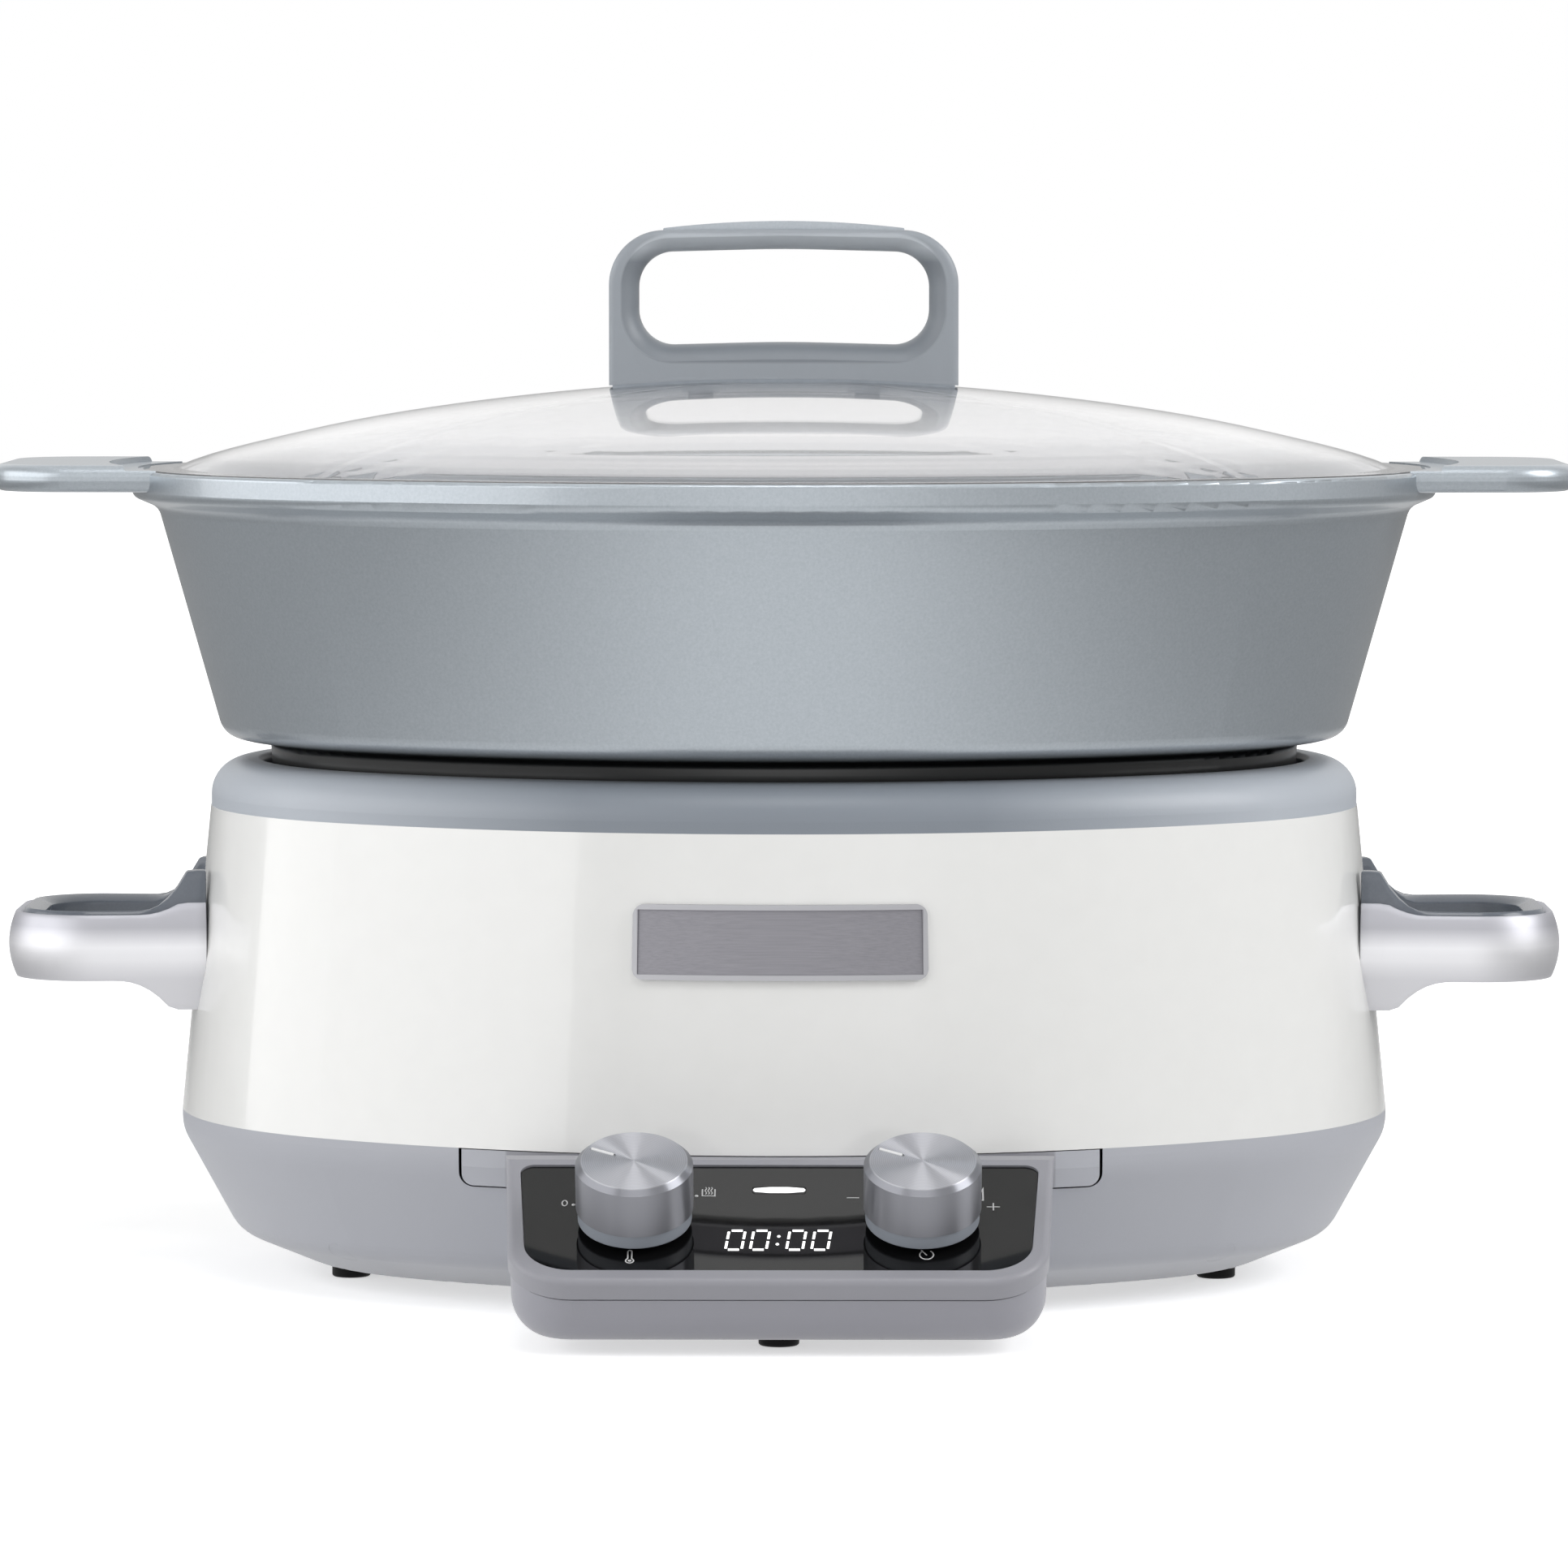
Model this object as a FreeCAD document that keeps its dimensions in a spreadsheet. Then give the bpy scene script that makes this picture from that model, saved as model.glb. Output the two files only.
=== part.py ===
import FreeCAD, Part
import math
import os
import Sketcher

# A slow cooker with an oval plan. Millimetres, +Z up, front towards -Y, table at Z = 0.
# Every oval ring is a profile swept along one oval of four tangent arcs, so that the
# ring's wall keeps its thickness all the way round, as it does on the real pressings.

Vector = FreeCAD.Vector
document = FreeCAD.newDocument("slow_cooker")

# Driving dimensions

SIZES = [
    ("end_centre", 71, "end arcs' centres from the oval's middle"),
    ("side_centre", 98, "side arcs' centres from the oval's middle"),
    ("running_gap", 0.3, "clearance between pieces that move or are trimmed to each other"),
    ("shaft_gap", 0.05, "radial clearance of a turning shaft"),
    ("fit_gap", 0.15, "radial clearance of a fixed pin, tube or screw"),
    ("foot_radius", 6, "rubber foot"),
    ("foot_height", 3.2, "rubber foot below its boss"),
    ("foot_stem_radius", 3, "stem of a rubber foot in the floor"),
    ("foot_side_inset", 14, "side feet inside the floor's ends"),
    ("foot_side_y", -20, "side feet from the middle"),
    ("foot_rear_inset", 64, "rear feet inside the floor's ends"),
    ("foot_back_inset", 35, "rear feet inside the floor's rear"),
    ("foot_front_run", 22, "front foot before the upper edge of the glass"),
    ("floor_height", 5, "underside of the housing's floor"),
    ("floor_inset", 39.8, "edge of the flat floor inside the shell's bottom"),
    ("slope_inset", 17.3, "meeting of floor and slope inside the shell's bottom"),
    ("slope_height", 14.5, "height where floor and slope meet"),
    ("rim_depth", 6, "upright rim of the housing below the seam"),
    ("housing_wall", 2.5, "wall of the housing"),
    ("seam_height", 52, "parting line of housing and shell"),
    ("lip_height", 4, "locating lips inside the shell"),
    ("lip_wall", 1.8, "thickness of the locating lips"),
    ("shell_height", 95, "white shell"),
    ("shell_bottom_half", 188.8, "half length of the shell at its bottom"),
    ("shell_taper", 9.4, "each side of the shell from bottom to top"),
    ("shell_wall", 1, "sheet of the shell"),
    ("ring_height", 14.5, "top ring above the shell"),
    ("ring_width", 16.4, "top ring from its outside to its opening"),
    ("ring_round", 11, "outer edge of the top ring"),
    ("ring_wall", 2.5, "wall of the top ring"),
    ("ring_skirt", 11.5, "inner skirt of the top ring"),
    ("post_radius", 3, "tie posts from the housing to the ring"),
    ("post_angle", 50, "tie posts round the end arcs"),
    ("pan_wall", 1, "sheet of the inner pan"),
    ("pan_depth", 38, "inner pan below the ring's skirt"),
    ("pan_flange", 3, "flange of the inner pan"),
    ("plate_gap", 7, "heating plate from the ring's opening"),
    ("plate_thick", 8, "heating plate"),
    ("plate_rise", 1, "heating plate above the shell's top"),
    ("element_inset", 40.8, "loop of the heating element inside the plate"),
    ("element_radius", 3.5, "tube of the heating element"),
    ("element_rib", 12, "width of the rib that holds the element"),
    ("element_break", 24, "gap in the element's loop at the rear"),
    ("standoff_radius", 4, "standoffs of the heating plate"),
    ("standoff_inset", 27.8, "standoffs inside the plate's ends"),
    ("standoff_y", 30, "standoffs from the middle"),
    ("sensor_radius", 7, "temperature sensor"),
    ("pot_foot_gap", 3, "pot foot from the ring's opening"),
    ("pot_foot_height", 18.5, "pot foot"),
    ("pot_shoulder", 15.5, "pot shoulder beyond the foot"),
    ("pot_shoulder_rise", 2.4, "pot shoulder above the foot"),
    ("pot_height", 103.7, "pot from foot to lip"),
    ("pot_flare", 43.7, "pot lip beyond the pot foot"),
    ("pot_lip_overhang", 8.2, "pot lip beyond the wall"),
    ("pot_lip_face", 8.2, "height of the lip's face"),
    ("pot_lip_wall", 2.8, "lip beside the lid"),
    ("pot_wall", 3, "wall of the pot"),
    ("pot_floor", 5, "floor of the pot"),
    ("pot_ledge_width", 8.2, "seat of the lid"),
    ("pot_ledge_depth", 3.3, "seat of the lid below the lip"),
    ("lug_length", 41.5, "pot lug beyond the lip"),
    ("lug_run", 60, "pot lug inside the lip's end"),
    ("lug_root_width", 51, "half width of a pot lug at its root"),
    ("lug_end_width", 47, "half width of a pot lug at its end"),
    ("lug_corner", 24, "corner of a pot lug"),
    ("lug_thick", 8.4, "pot lug"),
    ("lug_rise", 2.3, "pot lug above the lip"),
    ("lug_trough", 7, "trough between lip and lug"),
    ("lug_trough_rise", 0.6, "floor of the trough above the lip"),
    ("lug_edge", 3.6, "rounding of a lug's edges"),
    ("lid_gap", 0.7, "lid from the pot's lip"),
    ("glass_thick", 3.6, "glass of the lid"),
    ("lid_flange", 9.5, "flat flange of the lid"),
    ("dome_height", 27.2, "dome above the lid's flange"),
    ("lid_grip_width", 108.7, "lid handle"),
    ("lid_grip_height", 47, "lid handle above the dome"),
    ("lid_grip_depth", 24, "lid handle"),
    ("lid_grip_corner", 17, "upper corners of the lid handle"),
    ("lid_grip_crown", 0.4, "crown of the lid handle between its corners"),
    ("lid_grip_arch", 600, "radius of the lid handle's crown"),
    ("lid_hole_width", 90.6, "opening of the lid handle"),
    ("lid_hole_height", 29, "opening of the lid handle at its sides"),
    ("lid_hole_arch", 1.2, "arch of the opening's upper and lower edges"),
    ("lid_hole_curve", 420, "radius of the arched edges"),
    ("lid_hole_bottom", 10.8, "opening of the lid handle above the dome"),
    ("lid_hole_corner", 11, "corners of the opening"),
    ("lid_bevel", 5.2, "bevel round the opening, seen from the front"),
    ("lid_bevel_depth", 7, "bevel round the opening, front to back"),
    ("lid_bevel_hollow", 0.36, "share of the bevel left at a third of its depth"),
    ("lid_grip_edge", 2, "outer edges of the lid handle"),
    ("inlay_length", 75, "inlay strip in the lid handle"),
    ("inlay_depth", 15, "inlay strip, front to back"),
    ("inlay_thick", 6.6, "inlay strip"),
    ("inlay_proud", 4.6, "meeting of the inlay strip's top tangents above the handle"),
    ("inlay_crown", 4.2, "meeting of the top tangents above the strip's ends"),
    ("inlay_arch", 320, "radius of the inlay strip's top"),
    ("inlay_corner", 0.4, "upper corners of the inlay strip"),
    ("gasket_thick", 0.8, "gasket under the lid handle"),
    ("lid_screw_x", 26, "lid handle screws from the middle"),
    ("lid_screw_radius", 2, "shank of a lid handle screw"),
    ("washer_radius", 6, "washers under the lid"),
    ("washer_thick", 1, "washers under the lid"),
    ("handle_length", 53.4, "base handle beyond the shell's bottom"),
    ("handle_half_width", 42, "base handle, front to back"),
    ("handle_root_width", 32, "legs of a base handle inside the shell"),
    ("handle_band", 11, "band of a base handle at its middle"),
    ("handle_barrel", 33, "radius of the handle's rounded outer face"),
    ("handle_corner", 26, "outer corners of a base handle"),
    ("handle_bottom", 93.6, "underside of a base handle's band"),
    ("handle_height", 22.1, "band of a base handle"),
    ("handle_root_drop", 9.6, "root of a base handle below its band"),
    ("handle_root_rise", 12.3, "root of a base handle above its band"),
    ("handle_root_length", 1.5, "upper root of a base handle"),
    ("handle_root_run", 6.5, "slope from the upper root to the band"),
    ("handle_foot_length", 6.7, "lower root of a base handle"),
    ("handle_foot_run", 8.8, "slope from the lower root to the band"),
    ("handle_root_curve", 10, "hollow above the band, beside the root"),
    ("handle_foot_curve", 16, "hollow below the band, beside the root"),
    ("badge_width", 88, "badge plate"),
    ("badge_height", 22.4, "badge plate"),
    ("badge_middle", 115, "middle of the badge plate"),
    ("badge_thick", 1.4, "badge plate with its rim"),
    ("badge_recess", 0.6, "field of the badge plate below its rim"),
    ("badge_rim", 1.6, "rim of the badge plate"),
    ("badge_corner", 3.4, "corners of the badge plate"),
    ("panel_tilt", 25.4, "control panel from the horizontal"),
    ("console_reach", 9.2, "upper edge of the control glass before the shell"),
    ("panel_drop", 2.2, "upper edge of the control glass below the seam"),
    ("panel_length", 56.6, "control glass down the slope"),
    ("panel_top_width", 76.5, "half width of the control glass at its upper edge"),
    ("panel_bottom_width", 73, "half width of the control glass at its lower edge"),
    ("panel_top_corner", 4, "upper corners of the control glass"),
    ("panel_corner", 14, "lower corners of the control glass"),
    ("panel_thick", 2, "control glass"),
    ("panel_gap", 0.25, "control glass from its recess"),
    ("bezel_border", 5, "bezel beside the control glass"),
    ("bezel_proud", 0.6, "bezel above the control glass"),
    ("bezel_depth", 5.9, "bezel below the control glass"),
    ("bezel_shelf", 2, "shelf that carries the control glass"),
    ("bezel_wall", 2.5, "skirt of the bezel"),
    ("bezel_edge", 2, "rounding of the bezel's upper edge"),
    ("bezel_rear", 12.5, "bezel behind the control glass"),
    ("wing_reach", 95.5, "wings of the bezel from the middle"),
    ("wing_height", 11, "wings of the bezel"),
    ("wing_corner", 3.5, "lower corners of the wings"),
    ("wing_end_gap", 0.9, "slot beside the ends of the wings"),
    ("wing_gap", 0.6, "shadow line below the wings"),
    ("tray_height", 4, "underside of the console's tray"),
    ("tray_run", 55, "console's tray behind the upper edge of the glass"),
    ("tray_round", 13, "lower edge of the console's tray"),
    ("tray_gap", 0.6, "shadow line between bezel and tray"),
    ("tray_inset", 0.4, "tray inside the bezel's outline, for the shadow line"),
    ("knob_x", 42, "knobs from the middle"),
    ("knob_drop", 31.5, "knobs below the upper edge of the glass"),
    ("knob_radius", 17.2, "knob cap"),
    ("knob_chamfer", 1.7, "chamfer of the knob cap"),
    ("cap_height", 15.6, "knob cap"),
    ("skirt_height", 4.4, "knob skirt"),
    ("skirt_inset", 0.5, "knob skirt inside the cap"),
    ("knob_gap", 2.1, "knob above the control glass"),
    ("pointer_turn", 27, "pointer at rest, from the left towards the rear, in degrees"),
    ("groove_length", 8.4, "pointer groove"),
    ("groove_width", 1.2, "pointer groove"),
    ("groove_depth", 0.5, "pointer groove"),
    ("shaft_radius", 3, "knob shaft"),
    ("shaft_grip", 9, "knob shaft inside the cap"),
    ("board_drop", 12.4, "control board below the glass's upper face"),
    ("board_thick", 1.6, "circuit boards"),
    ("board_half_width", 68, "control board"),
    ("board_length", 40, "control board down the slope"),
    ("board_start", 8, "control board below the upper edge of the glass"),
    ("board_boss", 3, "bosses that carry the control board"),
    ("switch_width", 13, "switch and encoder cases"),
    ("switch_height", 7, "switch and encoder cases"),
    ("neck_radius", 4.4, "threaded necks of switch and encoder"),
    ("display_width", 36, "display block"),
    ("display_height", 14, "display block"),
    ("display_drop", 38.5, "middle of the display below the upper edge of the glass"),
    ("lens_width", 15.6, "indicator lens"),
    ("lens_height", 3.8, "indicator lens"),
    ("lens_drop", 12.8, "indicator lens below the upper edge of the glass"),
    ("gland_height", 32, "cord gland above the table"),
    ("gland_flange", 9, "radius of the gland's flange"),
    ("gland_neck", 6, "radius of the gland's neck"),
    ("gland_bore", 3.75, "radius of the gland's bore"),
    ("gland_inset", 1.3, "outer face of the gland's boss inside the shell's bottom"),
    ("screw_radius", 2, "shank of a housing screw"),
    ("screw_head", 3.8, "head of a housing screw"),
    ("screw_seat", 25, "seat of a housing screw above the table"),
    ("screw_boss", 6, "boss of a housing screw"),
    ("vent_width", 3, "vent slots in the floor"),
    ("vent_length", 46, "vent slots in the floor"),
    ("vent_pitch", 9, "vent slots in the floor"),
    ("power_board_y", 48, "middle of the power board behind the middle"),
    ("power_board_length", 84, "power board"),
    ("power_board_depth", 52, "power board"),
    ("power_board_height", 18, "underside of the power board"),
]

sheet = document.addObject("Spreadsheet::Sheet", "sizes")
for row, (alias, value, note) in enumerate(SIZES, start=1):
    sheet.set(f"A{row}", str(value))
    sheet.setAlias(f"A{row}", alias)
    sheet.set(f"B{row}", note)
document.recompute()


class Size:
    """A size as a formula over the sheet's cells, together with its present value."""

    def __init__(self, formula, value):
        self.formula = formula
        self.value = value

    def joined(self, sign, other, value):
        return Size(f"({self.formula} {sign} {formula_of(other)})", value)

    def __add__(self, other):
        return self.joined("+", other, self.value + value_of(other))

    def __sub__(self, other):
        return self.joined("-", other, self.value - value_of(other))

    def __mul__(self, other):
        return self.joined("*", other, self.value * value_of(other))

    def __truediv__(self, other):
        return self.joined("/", other, self.value / value_of(other))

    def __neg__(self):
        return Size(f"(0 - {self.formula})", -self.value)


def formula_of(size):
    return size.formula if isinstance(size, Size) else str(size)


def value_of(size):
    return size.value if isinstance(size, Size) else size


def root(size):
    return Size(f"sqrt({size.formula})", math.sqrt(size.value))


def sine(angle):
    return Size(f"sin({angle.formula})", math.sin(math.radians(angle.value)))


def cosine(angle):
    return Size(f"cos({angle.formula})", math.cos(math.radians(angle.value)))


class Sheet:
    """Reads a cell of the sheet as a Size: cells.shell_wall, for example."""

    def __getattr__(self, alias):
        return Size(f"sizes.{alias}", float(sheet.get(alias)))


cells = Sheet()

# Sizes that follow from the driving ones

arc_reach = root(cells.end_centre * cells.end_centre + cells.side_centre * cells.side_centre)
oval_loss = cells.end_centre + cells.side_centre - arc_reach
shell_top = cells.seam_height + cells.shell_height
rim_height = cells.seam_height - cells.rim_depth
panel_height = cells.seam_height - cells.panel_drop
shell_top_half = cells.shell_bottom_half - cells.shell_taper
shell_front = cells.shell_bottom_half - oval_loss
slope_half = cells.shell_bottom_half - cells.slope_inset
floor_half = cells.shell_bottom_half - cells.floor_inset
handle_reach = cells.shell_bottom_half + cells.handle_length
panel_front = shell_front + cells.console_reach
tray_rear = panel_front - cells.tray_run
gland_face = shell_front - cells.gland_inset
foot_side_x = floor_half - cells.foot_side_inset
foot_rear_x = floor_half - cells.foot_rear_inset
foot_rear_y = floor_half - oval_loss - cells.foot_back_inset
foot_front_y = -(panel_front + cells.foot_front_run)
ring_half = shell_top_half - cells.shell_wall * 0.2
ring_opening = ring_half - cells.ring_width
ring_top = shell_top + cells.ring_height
ring_skirt_bottom = ring_top - cells.ring_skirt
pan_floor = ring_skirt_bottom - cells.pan_depth
plate_half = ring_opening - cells.plate_gap
element_half = plate_half - cells.element_inset
standoff_x = plate_half - cells.standoff_inset
plate_top = shell_top + cells.plate_rise
plate_bottom = plate_top - cells.plate_thick
element_height = plate_bottom - cells.element_radius
pot_foot_half = ring_opening - cells.pot_foot_gap
pot_lip_half = pot_foot_half + cells.pot_flare
lug_reach = pot_lip_half + cells.lug_length
pot_top = plate_top + cells.pot_height
pot_ledge = pot_top - cells.pot_ledge_depth
pot_wall_half = pot_lip_half - cells.pot_lip_overhang
lid_half = pot_lip_half - cells.pot_lip_wall - cells.lid_gap
lid_flange_top = pot_ledge + cells.glass_thick
dome_half = lid_half - cells.lid_flange
dome_top = lid_flange_top + cells.dome_height
grip_top = dome_top + cells.lid_grip_height
bezel_front = cells.panel_length + cells.bezel_border + 1
front_reach = (
    panel_front
    + (bezel_front - cells.bezel_edge) * cosine(cells.panel_tilt)
    + (cells.bezel_proud - cells.bezel_edge) * sine(cells.panel_tilt)
    + cells.bezel_edge
)
rear_reach = pot_lip_half - oval_loss
oval_y = (front_reach - rear_reach) / 2
shell_lean = cells.shell_taper / cells.shell_height


def shell_half_at(height):
    return cells.shell_bottom_half - (height - cells.seam_height) * shell_lean


# Sketches

def bind(thing, name, size):
    """Bind a property to the sheet, or set it when it is a plain number."""
    if isinstance(size, Size):
        thing.setExpression(name, size.formula)
    else:
        setattr(thing, name, size)


def place(thing, x=0, y=0, z=0):
    """Place a sub-part in the cooker: its own origin goes to x, y, z from the oval's middle."""
    thing.setExpression("Placement.Base.x", formula_of(x))
    thing.setExpression("Placement.Base.y", formula_of(oval_y + y))
    thing.setExpression("Placement.Base.z", formula_of(z))


def place_on_panel(thing, x=0, slope=0, rise=0):
    """Place a sub-part in the panel's frame: slope runs up the panel, rise away from it."""
    tilt = cells.panel_tilt
    thing.Placement = FreeCAD.Placement(Vector(), FreeCAD.Rotation(Vector(1, 0, 0), tilt.value))
    thing.setExpression("Placement.Rotation.Angle", tilt.formula)
    back = cosine(tilt) * slope - sine(tilt) * rise - panel_front
    place(thing, x, back, panel_height + sine(tilt) * slope + cosine(tilt) * rise)


def new_body(name, placed=True):
    body = document.addObject("PartDesign::Body", name)
    body.Label = name
    if placed:
        place(body)
    return body


def new_sketch(body, name, role="XY_Plane", shift=0, along=0):
    """A sketch on an origin plane of the body, shifted along its normal and its own x."""
    sketch = body.newObject("Sketcher::SketchObject", name)
    plane = next(item for item in body.Origin.OriginFeatures if item.Role == role)
    sketch.AttachmentSupport = [(plane, "")]
    sketch.MapMode = "FlatFace"
    sketch.setExpression("AttachmentOffset.Base.z", formula_of(shift))
    sketch.setExpression("AttachmentOffset.Base.x", formula_of(along))
    return sketch


def panel_sketch(body, name, rise):
    """A sketch parallel to the control panel, its origin on the glass's upper edge."""
    tilt = cells.panel_tilt
    sketch = new_sketch(body, name)
    turn = FreeCAD.Rotation(Vector(1, 0, 0), tilt.value)
    sketch.AttachmentOffset = FreeCAD.Placement(Vector(), turn)
    sketch.setExpression("AttachmentOffset.Rotation.Angle", tilt.formula)
    forward = panel_front + sine(tilt) * rise
    sketch.setExpression("AttachmentOffset.Base.y", formula_of(-forward))
    upward = panel_height + cosine(tilt) * rise
    sketch.setExpression("AttachmentOffset.Base.z", upward.formula)
    return sketch


def add_constraints(sketch, entries):
    """Add constraints; an entry with a Size at its end is named and bound to the sheet."""
    for number, (kind, *arguments) in enumerate(entries, start=sketch.ConstraintCount + 1):
        size = arguments[-1] if isinstance(arguments[-1], Size) else None
        if size is not None:
            arguments[-1] = size.value
        constraint = Sketcher.Constraint(kind, *arguments)
        constraint.Name = f"size{number}"
        sketch.addConstraint(constraint)
        if size is not None:
            sketch.setExpression(f"Constraints.size{number}", size.formula)


def pin_point(geometry, point, x, y):
    """The two constraints that set a point from the sketch's origin."""
    x = x if isinstance(x, Size) else float(x)
    y = y if isinstance(y, Size) else float(y)
    return [
        ("DistanceX", -1, 1, geometry, point, x),
        ("DistanceY", -1, 1, geometry, point, y),
    ]


def draw_oval(sketch, half_length, proportion=1):
    """Four tangent arcs about the cooker's arc centres, scaled by proportion."""
    end = cells.end_centre * proportion
    end_radius = half_length - end
    side_radius = end_radius + arc_reach * proportion
    side = cells.side_centre * proportion
    turn = math.atan2(side.value, end.value)

    def arc(x, y, radius, start, stop):
        circle = Part.Circle(Vector(x, y, 0), Vector(0, 0, 1), radius.value)
        return sketch.addGeometry(Part.ArcOfCircle(circle, start, stop), False)

    right = arc(end.value, 0, end_radius, -turn, turn)
    back = arc(0, -side.value, side_radius, turn, math.pi - turn)
    left = arc(-end.value, 0, end_radius, math.pi - turn, math.pi + turn)
    front = arc(0, side.value, side_radius, math.pi + turn, 2 * math.pi - turn)
    add_constraints(sketch, [
        ("Tangent", right, 2, back, 1),
        ("Tangent", back, 2, left, 1),
        ("Tangent", left, 2, front, 1),
        ("Tangent", front, 2, right, 1),
        ("PointOnObject", right, 3, -1),
        ("DistanceX", -1, 1, right, 3, end),
        ("Symmetric", right, 3, left, 3, -1, 1),
        ("Radius", right, end_radius),
        ("Equal", right, left),
        ("Radius", back, side_radius),
        ("Equal", back, front),
    ])
    return sketch


def oval_sketch(body, name, half_length, height, proportion=1):
    return draw_oval(new_sketch(body, name, "XY_Plane", height), half_length, proportion)


def draw_outline(sketch, corners):
    """A closed outline through corners (x, y), each with an optional rounding radius."""
    points = [Vector(value_of(corner[0]), value_of(corner[1]), 0) for corner in corners]
    count = len(corners)
    entries = []
    starts = []
    ends = []
    arcs = []
    for index, corner in enumerate(corners):
        here = points[index]
        before = (points[index - 1] - here).normalize()
        after = (points[(index + 1) % count] - here).normalize()
        if len(corner) == 2:
            ends.append(here)
            starts.append(here)
            arcs.append(None)
            continue
        radius = value_of(corner[2])
        half_angle = before.getAngle(after) / 2
        reach = radius / math.tan(half_angle)
        first = here + before * reach
        last = here + after * reach
        middle = here + (before + after).normalize() * (radius / math.sin(half_angle) - radius)
        ends.append(first)
        starts.append(last)
        arcs.append(Part.Arc(first, middle, last))
    lines = []
    for index in range(count):
        line = Part.LineSegment(starts[index], ends[(index + 1) % count])
        lines.append(sketch.addGeometry(line, False))
    for index, corner in enumerate(corners):
        incoming = lines[index - 1]
        outgoing = lines[index]
        if arcs[index] is None:
            entries.append(("Coincident", incoming, 2, outgoing, 1))
            entries += pin_point(outgoing, 1, corner[0], corner[1])
            continue
        arc = sketch.addGeometry(arcs[index], False)
        mark = sketch.addGeometry(Part.Point(points[index]), True)
        first_end, last_end = arc_ends(sketch, arc, ends[index])
        entries += [
            ("PointOnObject", mark, 1, incoming),
            ("PointOnObject", mark, 1, outgoing),
            ("Tangent", incoming, 2, arc, first_end),
            ("Tangent", outgoing, 1, arc, last_end),
            ("Radius", arc, corner[2]),
        ]
        entries += pin_point(mark, 1, corner[0], corner[1])
    add_constraints(sketch, entries)
    return sketch


def arc_ends(sketch, arc, first):
    """Which ends of an arc, 1 or 2, meet the incoming and the outgoing line."""
    start = sketch.getPoint(arc, 1)
    return (1, 2) if start.distanceToPoint(first) < 1e-6 else (2, 1)


def draw_circles(sketch, circles):
    """Circles (x, y, radius)."""
    for x, y, radius in circles:
        centre = Vector(value_of(x), value_of(y), 0)
        circle = Part.Circle(centre, Vector(0, 0, 1), value_of(radius))
        index = sketch.addGeometry(circle, False)
        add_constraints(sketch, pin_point(index, 3, x, y) + [("Radius", index, radius)])
    return sketch


def rectangle(left, bottom, right, top, corner=None):
    points = [(left, bottom), (right, bottom), (right, top), (left, top)]
    return points if corner is None else [(x, y, corner) for x, y in points]


# Features

def feature(body, kind, name, profile):
    result = body.newObject(f"PartDesign::{kind}", name)
    result.Profile = profile
    return result


def pad(body, name, profile, length, reverse=False, both_ways=False):
    result = feature(body, "Pad", name, profile)
    result.SideType = "Symmetric" if both_ways else "One side"
    result.Reversed = reverse
    bind(result, "Length", length)
    return result


def pocket(body, name, profile, depth=None, reverse=False, both_ways=False):
    """Cut a profile below its sketch (above it when reversed), right through without depth."""
    result = feature(body, "Pocket", name, profile)
    result.SideType = "Symmetric" if both_ways else "One side"
    result.Reversed = reverse
    if depth is None:
        result.Type = "ThroughAll"
    else:
        bind(result, "Length", depth)
    return result


def sweep(body, name, profile, spine, kind="AdditivePipe"):
    result = feature(body, kind, name, profile)
    result.Spine = spine
    return result


def turn(body, name, profile, angle=360, kind="Revolution"):
    """Turn a profile about its sketch's own upright axis."""
    result = feature(body, kind, name, profile)
    result.ReferenceAxis = (profile, ["V_Axis"])
    result.Midplane = True
    bind(result, "Angle", angle)
    return result


def round_edges(body, name, base, radius, chosen):
    """Round the edges of a feature that pass the test chosen(edge)."""
    document.recompute()
    names = [f"Edge{n}" for n, edge in enumerate(base.Shape.Edges, start=1) if chosen(edge)]
    result = body.newObject("PartDesign::Fillet", name)
    result.Base = (base, names)
    bind(result, "Radius", radius)
    return result


def oval_ring(name, profile_corners, half_length):
    """A body whose profile is swept along the oval."""
    body = new_body(name)
    profile = draw_outline(new_sketch(body, f"{name}_profile", "XZ_Plane"), profile_corners)
    spine = oval_sketch(body, f"{name}_spine", half_length, 0)
    sweep(body, f"{name}_wall", profile, spine)
    return body


def cylinder(name, radius, height, x=0, y=0, z=0):
    rod = document.addObject("Part::Cylinder", name)
    bind(rod, "Radius", radius)
    bind(rod, "Height", height)
    place(rod, x, y, z)
    return rod


def box(name, length, width, height, x=0, y=0, z=0):
    """A block centred on x and y, standing on z."""
    block = document.addObject("Part::Box", name)
    bind(block, "Length", length)
    bind(block, "Width", width)
    bind(block, "Height", height)
    place(block, x - length / 2, y - width / 2, z)
    return block


def group(name, members):
    result = document.addObject("Part::Compound", name)
    result.Label = name
    result.Links = members
    return result


def fused(name, members):
    result = document.addObject("Part::MultiFuse", name)
    result.Label = name
    result.Shapes = members
    return result


def cut(name, base, tool):
    result = document.addObject("Part::Cut", name)
    result.Label = name
    result.Base = base
    result.Tool = tool
    return result


# Corners shared by the console's pieces, in the panel's own frame

def console_outline(border, rear, front):
    """Outline of the console round the control glass, border wider than the glass."""
    upper = cells.panel_top_width + border
    lower = cells.panel_bottom_width + border
    corner = cells.panel_corner + border
    return [
        (upper, rear),
        (-upper, rear),
        (-lower, -front, corner),
        (lower, -front, corner),
    ]


def glass_outline(border):
    upper = cells.panel_top_width + border
    lower = cells.panel_bottom_width + border
    front = cells.panel_length + border
    return [
        (upper, Size("0", 0) + border, cells.panel_top_corner + border),
        (-upper, Size("0", 0) + border, cells.panel_top_corner + border),
        (-lower, -front, cells.panel_corner + border),
        (lower, -front, cells.panel_corner + border),
    ]


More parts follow.
